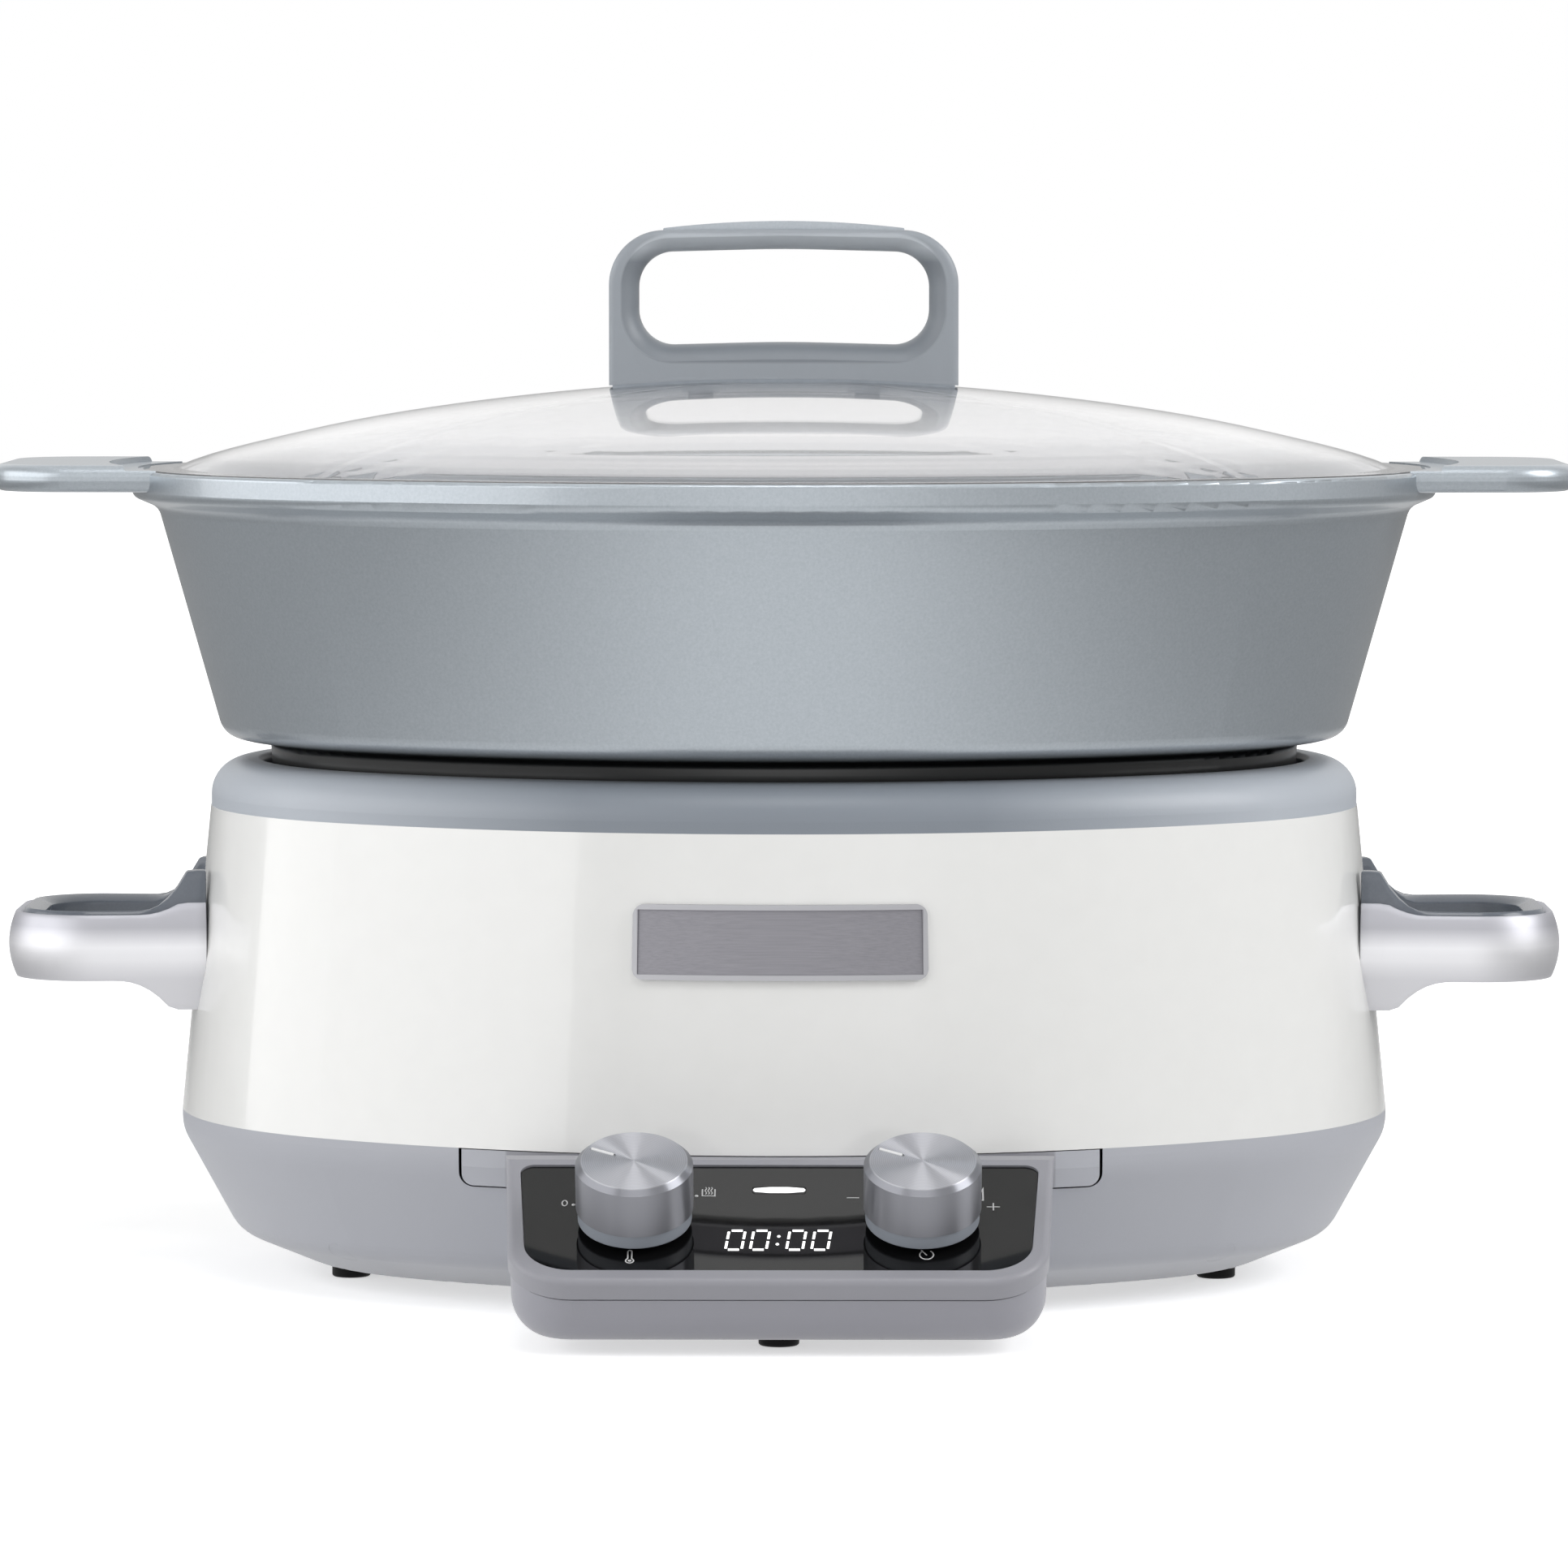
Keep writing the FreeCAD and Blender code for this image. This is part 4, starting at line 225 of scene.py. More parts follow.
# %% Softboxes
LAMPS = [
    # name, place, size, power, aim
    ("front_softbox", (0.0, -2.9, 0.35), (2.2, 0.7), 1.8, (0, 0, 0.15)),
    ("left_softbox", (-2.0, -0.5, 0.75), (3.4, 1.5), 27.5, (-0.23, 0.44, 0.1)),
    ("right_softbox", (2.0, -0.6, 1.3), (1.2, 1.4), 27, (0, 0, 0.1)),
    ("table_softbox", (0.0, -1.0, 1.8), (0.8, 0.6), 6, (0, -0.5, 0.0)),
]
for name, place, size, power, aim in LAMPS:
    bpy.ops.object.light_add(type="AREA", location=place)
    lamp = bpy.context.object
    lamp.name = name
    lamp.data.shape = "RECTANGLE"
    lamp.data.size, lamp.data.size_y = size
    lamp.data.energy = power
    along = [a - p for a, p in zip(aim, place)]
    flat = math.hypot(along[0], along[1])
    lamp.rotation_euler = (math.atan2(flat, -along[2]), 0, math.atan2(-along[0], along[1]))
print("softboxes:", len(LAMPS))

# %% [markdown]
# The floor is a large pale sheet. A light of its own, for the camera and through glass only,
# brings it up to the white of the background away from the cooker, and the soft shadow under the
# cooker stays. Shiny parts see a white card in front and greyer paper at the sides, which gives
# the pot its bright middle and dark ends.

# %% Floor
# The sheet's own light and the cards: two distances in metres, and the brightness at each.
FLOOR_RADIUS = 6.0
FLOOR_MIDDLE = 2.0
OWN_LIGHT = (0.25, 0.9, 0.55, 1.0)
CARDS = (0.1, 0.5, 1.1, 0.3)
bpy.ops.mesh.primitive_circle_add(vertices=96, radius=FLOOR_RADIUS, fill_type="NGON",
                                  location=(0, FLOOR_MIDDLE, 0))
floor = bpy.context.object
floor.name = "floor"
material, tree = start_material("pale_paper_floor")
path = add_node(tree, "ShaderNodeLightPath").outputs
place = object_place(tree)
direct = calculate(tree, "MAXIMUM", path["Is Camera Ray"], path["Is Transmission Ray"])
mirrored = calculate(tree, "GREATER_THAN", path["Is Glossy Ray"], path["Is Transmission Ray"])
from_cooker = add_node(tree, "ShaderNodeVectorMath", {
    0: place, 1: (0.0, -FLOOR_MIDDLE, 0.0)}, operation="DISTANCE").outputs["Value"]
lift = calculate(tree, "MULTIPLY", direct, ramp(tree, from_cooker, *OWN_LIGHT))
paper = add_node(tree, "ShaderNodeBsdfDiffuse", {"Color": linear("#F2F2F2")})
own_light = add_node(tree, "ShaderNodeEmission", {"Color": linear("#FFFFFF"), "Strength": lift})
both = add_node(tree, "ShaderNodeAddShader", {0: paper.outputs[0], 1: own_light.outputs[0]})
sideways = calculate(tree, "ABSOLUTE", split(tree, place)["X"])
cards = add_node(tree, "ShaderNodeEmission", {
    "Color": linear("#FFFFFF"), "Strength": ramp(tree, sideways, *CARDS)})
mixed = add_node(tree, "ShaderNodeMixShader", {
    0: mirrored, 1: both.outputs[0], 2: cards.outputs[0]})
end_material(tree, mixed.outputs[0])
floor.data.materials.append(material)

# %% [markdown]
# ## Satin grey mouldings
# Housing, bezel, ring, knob skirts and lid handle are moulded ABS with a fine spark-eroded
# texture, which breaks up highlights. The grain is about 0.4 mm in reality; here it is 0.8 mm, so
# that it shows at all. Each moulding has its own grey. All but the skirts have a second tone by
# place, because the light in the photograph falls differently on the lid, the pot and the base.

# %% Moulded ABS
ABS_GRAIN = 0.0008
ABS_CLOUD = 0.06


def moulded_abs(name, colour, paler, roughness, painted_tone=None):
    """Satin plastic: fine grain in the bump, faint cloudiness, perhaps painted light and shade by
    place.
    """
    material, tree = start_material(name)
    place = object_place(tree)
    grain = noise(tree, place, ABS_GRAIN, 2.0, 0.6)
    shade = blend(tree, noise(tree, place, ABS_CLOUD, 2.0), colour, paler)
    # Painted light or shade by place, where a moulding has it.
    if painted_tone:
        shade = painted_tone(tree, split(tree, place), shade)
    end_principled(tree, {
        "Base Color": shade, "IOR": 1.53, "Normal": relief(tree, grain, 0.12),
        "Roughness": ramp(tree, grain, 0.0, 1.0, roughness - 0.06, roughness + 0.06)})
    return material


# %% Second tones: painted light and shade
# In metres. Each pair says where the second tone starts and where it is complete. The tones are
# painted shade on the tray and round the lid handle's opening, and painted light on the wings, the
# ring's ends and under the opening's upper bar. The lid handle's opening is a rectangle with round
# corners: half its straight edges, and its middle.
TRAY_FRONT = (-0.122, -0.128)
WING_ROOT = (0.0816, 0.0824)
RING_END = (0.06, 0.15)
OPENING_HALF = (0.0343, 0.0038)
OPENING_LEVEL = 0.3048
OPENING_EDGE = (0.0166, 0.0158)
OPENING_ROOF = (0.3160, 0.3205)


def painted_shade_on_tray(tree, place, shade):
    """Painted shade on the console's tray, in front of the oval tub."""
    return blend(tree, ramp(tree, place["Y"], *TRAY_FRONT), shade, "#9E9EA6")


def painted_light_on_wings(tree, place, shade):
    """Painted light on the bezel's wings, at both sides of the console."""
    sideways = calculate(tree, "ABSOLUTE", place["X"])
    return blend(tree, ramp(tree, sideways, *WING_ROOT), shade, "#B9BBC2")


def painted_light_on_ring_ends(tree, place, shade):
    """Painted light on the ring's two ends."""
    sideways = calculate(tree, "ABSOLUTE", place["X"])
    return blend(tree, ramp(tree, sideways, *RING_END), shade, "#B8BEC6")


def painted_light_and_shade_at_opening(tree, place, shade):
    """Painted shade round the lid handle's opening, and painted light under its upper bar."""
    sideways = calculate(tree, "ABSOLUTE", place["X"])
    level = calculate(tree, "ABSOLUTE", calculate(tree, "SUBTRACT", place["Z"], OPENING_LEVEL))
    past_x = calculate(tree, "SUBTRACT", sideways, OPENING_HALF[0])
    past_z = calculate(tree, "SUBTRACT", level, OPENING_HALF[1])
    beyond = hypotenuse(tree, calculate(tree, "MAXIMUM", past_x),
                        calculate(tree, "MAXIMUM", past_z))
    slope = blend(tree, ramp(tree, place["Z"], *OPENING_ROOF), "#868C93", "#BEC4CA")
    return blend(tree, ramp(tree, beyond, *OPENING_EDGE), shade, slope)


housing_grey = moulded_abs("housing_abs", "#B3B5BC", "#B8BAC1", 0.42, painted_shade_on_tray)
bezel_grey = moulded_abs("bezel_abs", "#98989F", "#9D9DA4", 0.40, painted_light_on_wings)
ring_grey = moulded_abs("ring_abs", "#868D96", "#8B929B", 0.40, painted_light_on_ring_ends)
skirt_grey = moulded_abs("knob_skirt_abs", "#979DA6", "#9CA2AB", 0.38)
handle_grey = moulded_abs("lid_handle_abs", "#9EA4AB", "#A3A9B0", 0.42, painted_light_and_shade_at_opening)
print("mouldings:", housing_grey.name, ring_grey.name, handle_grey.name)

# %% [markdown]
# ## White enamel
# The shell is sheet steel with a thick glossy white enamel. Enamel flows out almost flat, so the
# only relief is a faint ripple about 8 mm long, and a clear top layer gives the sharp reflections.

# %% Enamel
ENAMEL_RIPPLE = 0.008
shell_white, tree = start_material("white_enamel")
ripple = noise(tree, object_place(tree), ENAMEL_RIPPLE, 1.0)
end_principled(tree, {
    "Base Color": blend(tree, ripple, "#EFEFED", "#F2F2F0"), "Roughness": 0.2, "IOR": 1.5,
    "Coat Weight": 0.6, "Coat Roughness": 0.05, "Normal": relief(tree, ripple, 0.05)})

# %% [markdown]
# ## Pot coating
# The pot is cast aluminium under a grey coating with metal flakes. The flakes are a few tenths of
# a millimetre; as a speckle of 0.9 mm they give the fine sparkle that the eye sees close up. The
# foot below the shoulder, which stands in the base, has a black coating. Its soft upper edge
# reaches over the shoulder's rounded underside as painted shade. The height above the table picks
# it out, and the distance from the oval's middle keeps the black off the inside.

# %% The oval's radius
# An oval of four arcs, in metres: the centres of its end and side arcs, from its middle.
OVAL_END_CENTRE = 0.071
OVAL_SIDE_CENTRE = 0.098


def oval_radius(tree, place):
    """The end arcs' radius of the oval through a point; the cooker's ovals share their centres."""
    parts = split(tree, place)
    x = calculate(tree, "ABSOLUTE", parts["X"])
    y = calculate(tree, "ABSOLUTE", calculate(tree, "SUBTRACT", parts["Y"], OVAL_MIDDLE))
    y_from_side = calculate(tree, "ADD", y, OVAL_SIDE_CENTRE)
    end_radius = hypotenuse(tree, calculate(tree, "SUBTRACT", x, OVAL_END_CENTRE), y)
    side_radius = calculate(tree, "SUBTRACT", hypotenuse(tree, x, y_from_side),
                            math.hypot(OVAL_END_CENTRE, OVAL_SIDE_CENTRE))
    on_side = calculate(tree, "GREATER_THAN",
                        calculate(tree, "MULTIPLY", y_from_side, OVAL_END_CENTRE),
                        calculate(tree, "MULTIPLY", x, OVAL_SIDE_CENTRE))
    difference = calculate(tree, "SUBTRACT", side_radius, end_radius)
    return calculate(tree, "ADD", end_radius, calculate(tree, "MULTIPLY", difference, on_side))


# %% Pot coating
POT_FLAKE = 0.0009
FOOT_COATING_EDGE = (0.1674, 0.1710)
POT_UNDERSIDE = 0.149
FOOT_INSIDE_RADIUS = 0.0873
pot_coating, tree = start_material("flaked_pot_coating")
place = object_place(tree)
height = split(tree, place)["Z"]
flakes = noise(tree, place, POT_FLAKE, 3.0, 0.7)
inside_floor = calculate(
    tree, "MULTIPLY", calculate(tree, "GREATER_THAN", height, POT_UNDERSIDE),
    calculate(tree, "LESS_THAN", oval_radius(tree, place), FOOT_INSIDE_RADIUS))
# Black below the shoulder: the foot's coating, with painted shade along its soft upper edge.
flaked = calculate(tree, "MAXIMUM", ramp(tree, height, *FOOT_COATING_EDGE), inside_floor)
end_principled(tree, {
    "Base Color": blend(tree, flaked, "#101213", blend(tree, flakes, "#A2AAB1", "#BEC5CB")),
    "Metallic": calculate(tree, "MULTIPLY", flaked, 0.75), "Roughness": 0.36,
    "Coat Weight": 0.55, "Coat Roughness": 0.08, "Normal": relief(tree, flakes, 0.08)})

# %% [markdown]
# ## Metals
# The side handles are satin-chromed. Their tone goes by height: a painted highlight makes them
# palest in the middle of their height, and a painted dark reflection makes them darkest along the
# upper edge. The badge is brushed from side to side: scratches some 40 mm long and 0.4 mm wide, as
# stretched noise. Its rim is paler, a painted highlight.

# %% Chrome
CHROME_LOWER = (0.0945, 0.1005)
CHROME_UPPER = (0.1045, 0.1105)
CHROME_HAZE = 0.004
chrome, tree = start_material("satin_chrome")
place = object_place(tree)
height = split(tree, place)["Z"]
haze = noise(tree, place, CHROME_HAZE, 3.0)
# Painted highlight: paler from the middle of the height up; painted dark reflection at the upper
# edge.
tone = blend(tree, ramp(tree, height, *CHROME_LOWER), "#DCDCE0", "#F0F0F3")
tone = blend(tree, ramp(tree, height, *CHROME_UPPER), tone, "#B8B8BE")
end_principled(tree, {
    "Base Color": tone, "Metallic": 1.0, "Roughness": ramp(tree, haze, 0.0, 1.0, 0.46, 0.52)})

# %% Brushed badge
SCRATCH_LENGTH = 0.04
SCRATCH_WIDTH = 0.0004
BADGE_FIELD = (0.0426, 0.0096)
BADGE_LEVEL = 0.115
RIM_EDGE = (-0.0001, 0.0001)
badge_metal, tree = start_material("brushed_badge_steel")
place = object_place(tree)
parts = split(tree, place)
stretched = add_node(tree, "ShaderNodeMapping", {
    "Vector": place, "Scale": (1 / SCRATCH_LENGTH, 1 / SCRATCH_WIDTH, 1 / SCRATCH_WIDTH)})
scratches = noise(tree, stretched.outputs[0], 1.0, 4.0, 0.65)
sideways = calculate(tree, "ABSOLUTE", parts["X"])
level = calculate(tree, "ABSOLUTE", calculate(tree, "SUBTRACT", parts["Z"], BADGE_LEVEL))
# Outside the brushed field the rim is paler: a painted highlight.
past_field = calculate(tree, "MAXIMUM", calculate(tree, "SUBTRACT", sideways, BADGE_FIELD[0]),
                       calculate(tree, "SUBTRACT", level, BADGE_FIELD[1]))
brushed = blend(tree, scratches, "#7E7D82", "#A09FA5")
end_principled(tree, {
    "Base Color": blend(tree, ramp(tree, past_field, *RIM_EDGE), brushed, "#B4B4B8"),
    "Metallic": 1.0, "Roughness": ramp(tree, scratches, 0.0, 1.0, 0.42, 0.58),
    "Normal": relief(tree, scratches, 0.1, 0.0001)})

# %% [markdown]
# ## The panel and its knobs
# The control panel leans back from the user. Its marks, its knobs and their finishes are all laid
# out in the panel's own plane, measured in millimetres from the middle of its upper edge. The
# knob caps are turned on a lathe, which leaves fine rings about the knob's axis. Light spreads
# across such rings and not along them; an anisotropic shader, with its tangent along the rings,
# gives the bright fans of a turned face.

# %% Where the panel lies
PANEL_TILT = math.radians(25.4)
PANEL_THICK = 0.002
glass_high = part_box("control_glass")[1]
panel_origin = (0.0, glass_high[1] - PANEL_THICK * math.sin(PANEL_TILT), glass_high[2])
KNOB_X = 42.0
KNOB_SLOPE = -31.5
KNOB_AXIS = (0.0, -math.sin(PANEL_TILT), math.cos(PANEL_TILT))


def panel_point(x, slope, rise=0.0):
    """A point on the panel in metres, from millimetres across, up the slope and above it."""
    y = panel_origin[1] + (slope * math.cos(PANEL_TILT) - rise * math.sin(PANEL_TILT)) / 1000
    z = panel_origin[2] + (slope * math.sin(PANEL_TILT) + rise * math.cos(PANEL_TILT)) / 1000
    return (x / 1000, y, z)


print("panel starts at", [round(v, 4) for v in panel_origin])

# %% Turned aluminium
# A wave texture of scale 1 repeats every 0.314 m. The cap's side is darker than its face, as
# painted shade.
WAVE_LENGTH = 0.314
RING_PITCH = 0.0006
CAP_EDGE = (0.0154, 0.0158)


def turned_aluminium(name, x):
    """Rings about the axis of the knob that stands x millimetres from the middle."""
    material, tree = start_material(name)
    place = object_place(tree)
    knob_place = panel_point(x, KNOB_SLOPE)
    about_axis = add_node(tree, "ShaderNodeMapping", {
        "Vector": place, "Location": knob_place, "Rotation": (PANEL_TILT, 0, 0)},
        vector_type="TEXTURE")
    rings = add_node(tree, "ShaderNodeTexWave", {
        "Vector": about_axis.outputs[0], "Scale": WAVE_LENGTH / RING_PITCH, "Distortion": 0.6,
        "Detail": 2.0, "Detail Scale": 2.0},
        wave_type="RINGS", rings_direction="Z", wave_profile="SIN").outputs["Fac"]
    from_axis = add_node(tree, "ShaderNodeVectorMath", {
        0: place, 1: knob_place}, operation="SUBTRACT")
    along_ring = add_node(tree, "ShaderNodeVectorMath", {
        0: KNOB_AXIS, 1: from_axis.outputs[0]}, operation="CROSS_PRODUCT").outputs[0]
    radius = add_node(tree, "ShaderNodeVectorMath", {0: along_ring}, operation="LENGTH")
    # Painted shade: a darker tone on the cap's side and chamfer.
    on_side = ramp(tree, radius.outputs["Value"], *CAP_EDGE)
    face = blend(tree, rings, "#C4C4C9", "#D2D2D7")
    end_principled(tree, {
        "Base Color": blend(tree, on_side, face, "#94959B"), "Metallic": 1.0, "Roughness": 0.38,
        "Anisotropic": 0.95, "Anisotropic Rotation": 0.25, "Tangent": along_ring,
        "Normal": relief(tree, rings, 0.25, 0.00004)})
    return material


selector_metal = turned_aluminium("turned_selector_cap", -KNOB_X)
timer_metal = turned_aluminium("turned_timer_cap", KNOB_X)

# %% Plain metal finishes


def plain_metal(name, dark, pale, grain_mm, roughness):
    """A metal with an uneven tone, for plates, tubes, screws and trim."""
    material, tree = start_material(name)
    grain = noise(tree, object_place(tree), grain_mm / 1000, 3.0)
    end_principled(tree, {
        "Base Color": blend(tree, grain, dark, pale), "Metallic": 1.0, "Roughness": roughness,
        "Normal": relief(tree, grain, 0.15)})
    return material


inlay_silver = plain_metal("satin_silver_inlay", "#AEB4BA", "#BEC4CA", 0.8, 0.4)
steel = plain_metal("plain_steel", "#9A9A9C", "#BCBCC0", 1.5, 0.35)
cast_plate = plain_metal("cast_heating_plate", "#4A4A4C", "#5A5A5C", 1.2, 0.5)
oxidised_tube = plain_metal("oxidised_element_tube", "#5A5350", "#6E6560", 2.0, 0.45)

# %% [markdown]
# ## Rubber, paint and acrylic
# The control panel is a sheet of black acrylic. It mirrors the white shell behind it, so it looks
# dark grey. The pan is painted with black stove paint, and the feet are rubber. The side handles'
# loop and the pale marks are plastic or paint of the same kind, in other tones.

# %% Plain surfaces


def plain_surface(name, dark, pale, grain_mm, roughness, ior, strength):
    """Rubber, paint or plastic: a tone with its own grain and gloss."""
    material, tree = start_material(name)
    grain = noise(tree, object_place(tree), grain_mm / 1000, 3.0)
    end_principled(tree, {
        "Base Color": blend(tree, grain, dark, pale), "Roughness": roughness, "IOR": ior,
        "Normal": relief(tree, grain, strength)})
    return material


panel_black = plain_surface("black_acrylic", "#0C0C0D", "#121213", 12.0, 0.04, 1.38, 0.01)
foot_rubber = plain_surface("foot_rubber", "#070708", "#0D0D0E", 0.6, 0.6, 1.25, 0.3)
gland_rubber = plain_surface("gland_rubber", "#121212", "#1C1C1C", 0.6, 0.55, 1.5, 0.3)
stove_paint = plain_surface("stove_paint", "#161617", "#222224", 0.8, 0.5, 1.5, 0.3)
component_black = plain_surface("component_plastic", "#141416", "#1E1E20", 0.6, 0.5, 1.53, 0.2)
board_green = plain_surface("circuit_board", "#0E4A26", "#145C30", 3.0, 0.4, 1.55, 0.1)
handle_dark = plain_surface("handle_loop_plastic", "#6A7079", "#737982", 0.8, 0.16, 1.5, 0.05)
pointer_enamel = plain_surface("pointer_enamel", "#EDEDED", "#F4F4F4", 0.5, 0.4, 1.5, 0.05)
print_white = plain_surface("printed_marks", "#CFCFCF", "#DADADA", 0.5, 0.5, 1.5, 0.05)

# %% [markdown]
# ## Clear glass
# The lid is toughened glass, 3.6 mm thick. It is a closed solid, so a plain refracting shader
# bends the light twice, at both faces, as the real lid does. Light on its way from a lamp passes
# unhindered, or the pot would be dark inside. The lid's flange is greyer, and a faint painted glow
# lies over its lower part for the light from below.

# %% Glass lid
GREYER_FLANGE = (0.2552, 0.2562)
BLOOM_BOTTOM = (0.2555, 0.259)
BLOOM_TOP = (0.276, 0.264)
BLOOM = 0.045
lid_glass, tree = start_material("toughened_glass")
height = split(tree, object_place(tree))["Z"]
# Painted light: a faint glow over the lid's lower part.
bloom = calculate(tree, "MULTIPLY", ramp(tree, height, *BLOOM_TOP), BLOOM)
bloom = calculate(tree, "MULTIPLY", bloom, ramp(tree, height, *BLOOM_BOTTOM))
glass = add_node(tree, "ShaderNodeBsdfPrincipled", {
    "Base Color": blend(tree, ramp(tree, height, *GREYER_FLANGE), "#D8D8DA", "#F8F7F7"),
    "Roughness": 0.01, "IOR": 1.6, "Transmission Weight": 1.0,
    "Emission Color": linear("#FFFFFF"), "Emission Strength": bloom})
clear = add_node(tree, "ShaderNodeBsdfTransparent", {"Color": linear("#F0F0F0")})
to_lamp = add_node(tree, "ShaderNodeLightPath").outputs["Is Shadow Ray"]
mixed = add_node(tree, "ShaderNodeMixShader", {
    0: to_lamp, 1: glass.outputs[0], 2: clear.outputs[0]})
end_material(tree, mixed.outputs[0])

# %% Gasket
# The gasket under the lid's handle is translucent silicone: the light that passes through it is
# given as a faint glow of its own colour.
gasket_rubber, tree = start_material("gasket_silicone")
cloud = noise(tree, object_place(tree), 0.003, 2.0)
tone = blend(tree, cloud, "#80868D", "#8E949B")
end_principled(tree, {
    "Base Color": tone, "Roughness": 0.5, "IOR": 1.41,
    "Emission Color": tone, "Emission Strength": 0.6})

# %% Lit parts


def lit_surface(name, colour, roughness, strength):
    """A lamp behind a white diffuser."""
    material, tree = start_material(name)
    end_principled(tree, {
        "Base Color": linear(colour), "Roughness": roughness,
        "Emission Color": linear("#FFFFFF"), "Emission Strength": strength})
    return material


lens_light = lit_surface("lit_lens", "#F4F4F4", 0.3, 0.9)
digit_light = lit_surface("lit_digits", "#FFFFFF", 0.4, 1.2)

# %% Finishes of the CAD nodes
FINISHES = {
    housing_grey: ["lower_housing"],
    bezel_grey: ["control_bezel"],
    ring_grey: ["top_ring"],
    skirt_grey: ["selector_knob_skirt", "timer_knob_skirt"],
    handle_grey: ["lid_handle"],
    shell_white: ["outer_shell"],
    pot_coating: ["cooking_pot"],
    chrome: ["left_handle", "right_handle"],
    badge_metal: ["badge_plate"],
    selector_metal: ["selector_knob_cap"],
    timer_metal: ["timer_knob_cap"],
    inlay_silver: ["lid_handle_inlay"],
    steel: ["tie_posts", "housing_screws", "handle_screws", "plate_standoffs", "board_screws",
            "lid_handle_washers", "lid_handle_screws", "temperature_sensor", "thermal_fuse",
            "selector_shaft", "timer_shaft"],
    cast_plate: ["heating_plate"],
    oxidised_tube: ["heating_element"],
    panel_black: ["control_glass", "indicator_lens"],
    foot_rubber: ["front_foot", "left_foot", "right_foot", "rear_left_foot", "rear_right_foot"],
    gland_rubber: ["cord_gland"],
    gasket_rubber: ["lid_handle_gasket"],
    stove_paint: ["inner_pan"],
    component_black: ["display_module", "selector_switch", "timer_encoder", "transformer",
                      "power_relay"],
    board_green: ["control_board", "power_board"],
    lid_glass: ["lid_glass"],
}
for material, names in FINISHES.items():
    for name in names:
        mesh = nodes[name].data
        mesh.materials.clear()
        mesh.materials.append(material)
print("finished nodes:", sum(len(names) for names in FINISHES.values()), "of", len(nodes))

# %% [markdown]
# ## Marks on the panel
# The marks are printed in white and the digits are lit segments behind the acrylic. Both are
# modelled as thin bars and lines, 0.05 mm above the panel. They are drawn in millimetres, with
# the middle of the panel's upper edge at the origin, and then flattened, turned and moved onto
# the panel as one piece.

# %% Helpers for flat pieces


def choose_only(piece):
    """Select one piece alone and make it the active one."""
    bpy.ops.object.select_all(action="DESELECT")
    piece.select_set(True)
    bpy.context.view_layer.objects.active = piece


def join(pieces):
    """Join pieces into the first one."""
    choose_only(pieces[0])
    for piece in pieces:
        piece.select_set(True)
    if len(pieces) > 1:
        bpy.ops.object.join()
    return bpy.context.object


def face_outward(piece):
    """Turn all faces of a solid outward."""
    choose_only(piece)
    bpy.ops.object.mode_set(mode="EDIT")
    bpy.ops.mesh.select_all(action="SELECT")
    bpy.ops.mesh.normals_make_consistent(inside=False)
    bpy.ops.object.mode_set(mode="OBJECT")


def extrude_up(piece, height):
    """Turn a sheet into a solid with upright sides."""
    choose_only(piece)
    bpy.ops.object.mode_set(mode="EDIT")
    bpy.ops.mesh.select_all(action="SELECT")
    bpy.ops.mesh.extrude_region_move(TRANSFORM_OT_translate={"value": (0, 0, height)})
    bpy.ops.object.mode_set(mode="OBJECT")
    face_outward(piece)


# %% Strokes
STROKE_HEIGHT = 0.2


def add_bar(x, slope, length, width, turn=0.0):
    """A hexagonal bar with pointed ends, as in a lit digit, centred at x and slope."""
    bpy.ops.object.select_all(action="DESELECT")
    bpy.ops.mesh.primitive_circle_add(vertices=6, radius=0.5, fill_type="NGON",
                                      rotation=(0, 0, math.radians(30)))
    bar = bpy.context.object
    bpy.ops.object.transform_apply(location=False, rotation=True, scale=False)
    for vertex in bar.data.vertices:
        upper = 1 if vertex.co.y > 0 else -1
        if abs(vertex.co.x) < 0.1:
            vertex.co = (0, upper * length / 2, 0)
        else:
            vertex.co = (math.copysign(width / 2, vertex.co.x), upper * (length - width) / 2, 0)
    bar.rotation_euler = (0, 0, turn)
    bar.location = (x, slope, 0)
    bpy.ops.object.transform_apply(location=True, rotation=True, scale=True)
    extrude_up(bar, STROKE_HEIGHT)
    return bar


def add_line(points, width, closed=False):
    """A line of the given width through points, all in millimetres on the panel."""
    bpy.ops.object.select_all(action="DESELECT")
    bpy.ops.curve.primitive_bezier_circle_add(radius=1)
    line = bpy.context.object
    line.data.splines.clear()
    spline = line.data.splines.new("POLY")
    spline.points.add(len(points) - 1)
    for point, (x, slope) in zip(spline.points, points):
        point.co = (x, slope, 0, 1)
    spline.use_cyclic_u = closed
    line.data.dimensions = "2D"
    line.data.fill_mode = "NONE"
    line.data.bevel_depth = width / 2
    line.data.bevel_resolution = 2
    bpy.ops.object.convert(target="MESH")
    return bpy.context.object


def arc(x, slope, across, up, start, stop, count=24):
    """Points on an ellipse, from one angle to another in degrees."""
    points = []
    for step in range(count + 1):
        angle = math.radians(start + (stop - start) * step / count)
        points.append((x + across * math.cos(angle), slope + up * math.sin(angle)))
    return points


def add_dot(x, slope, across=0.25, up=0.25):
    """A small filled spot: a thick line round a tiny ellipse."""
    return add_line(arc(x, slope, across, up, 0, 360), 0.6, True)


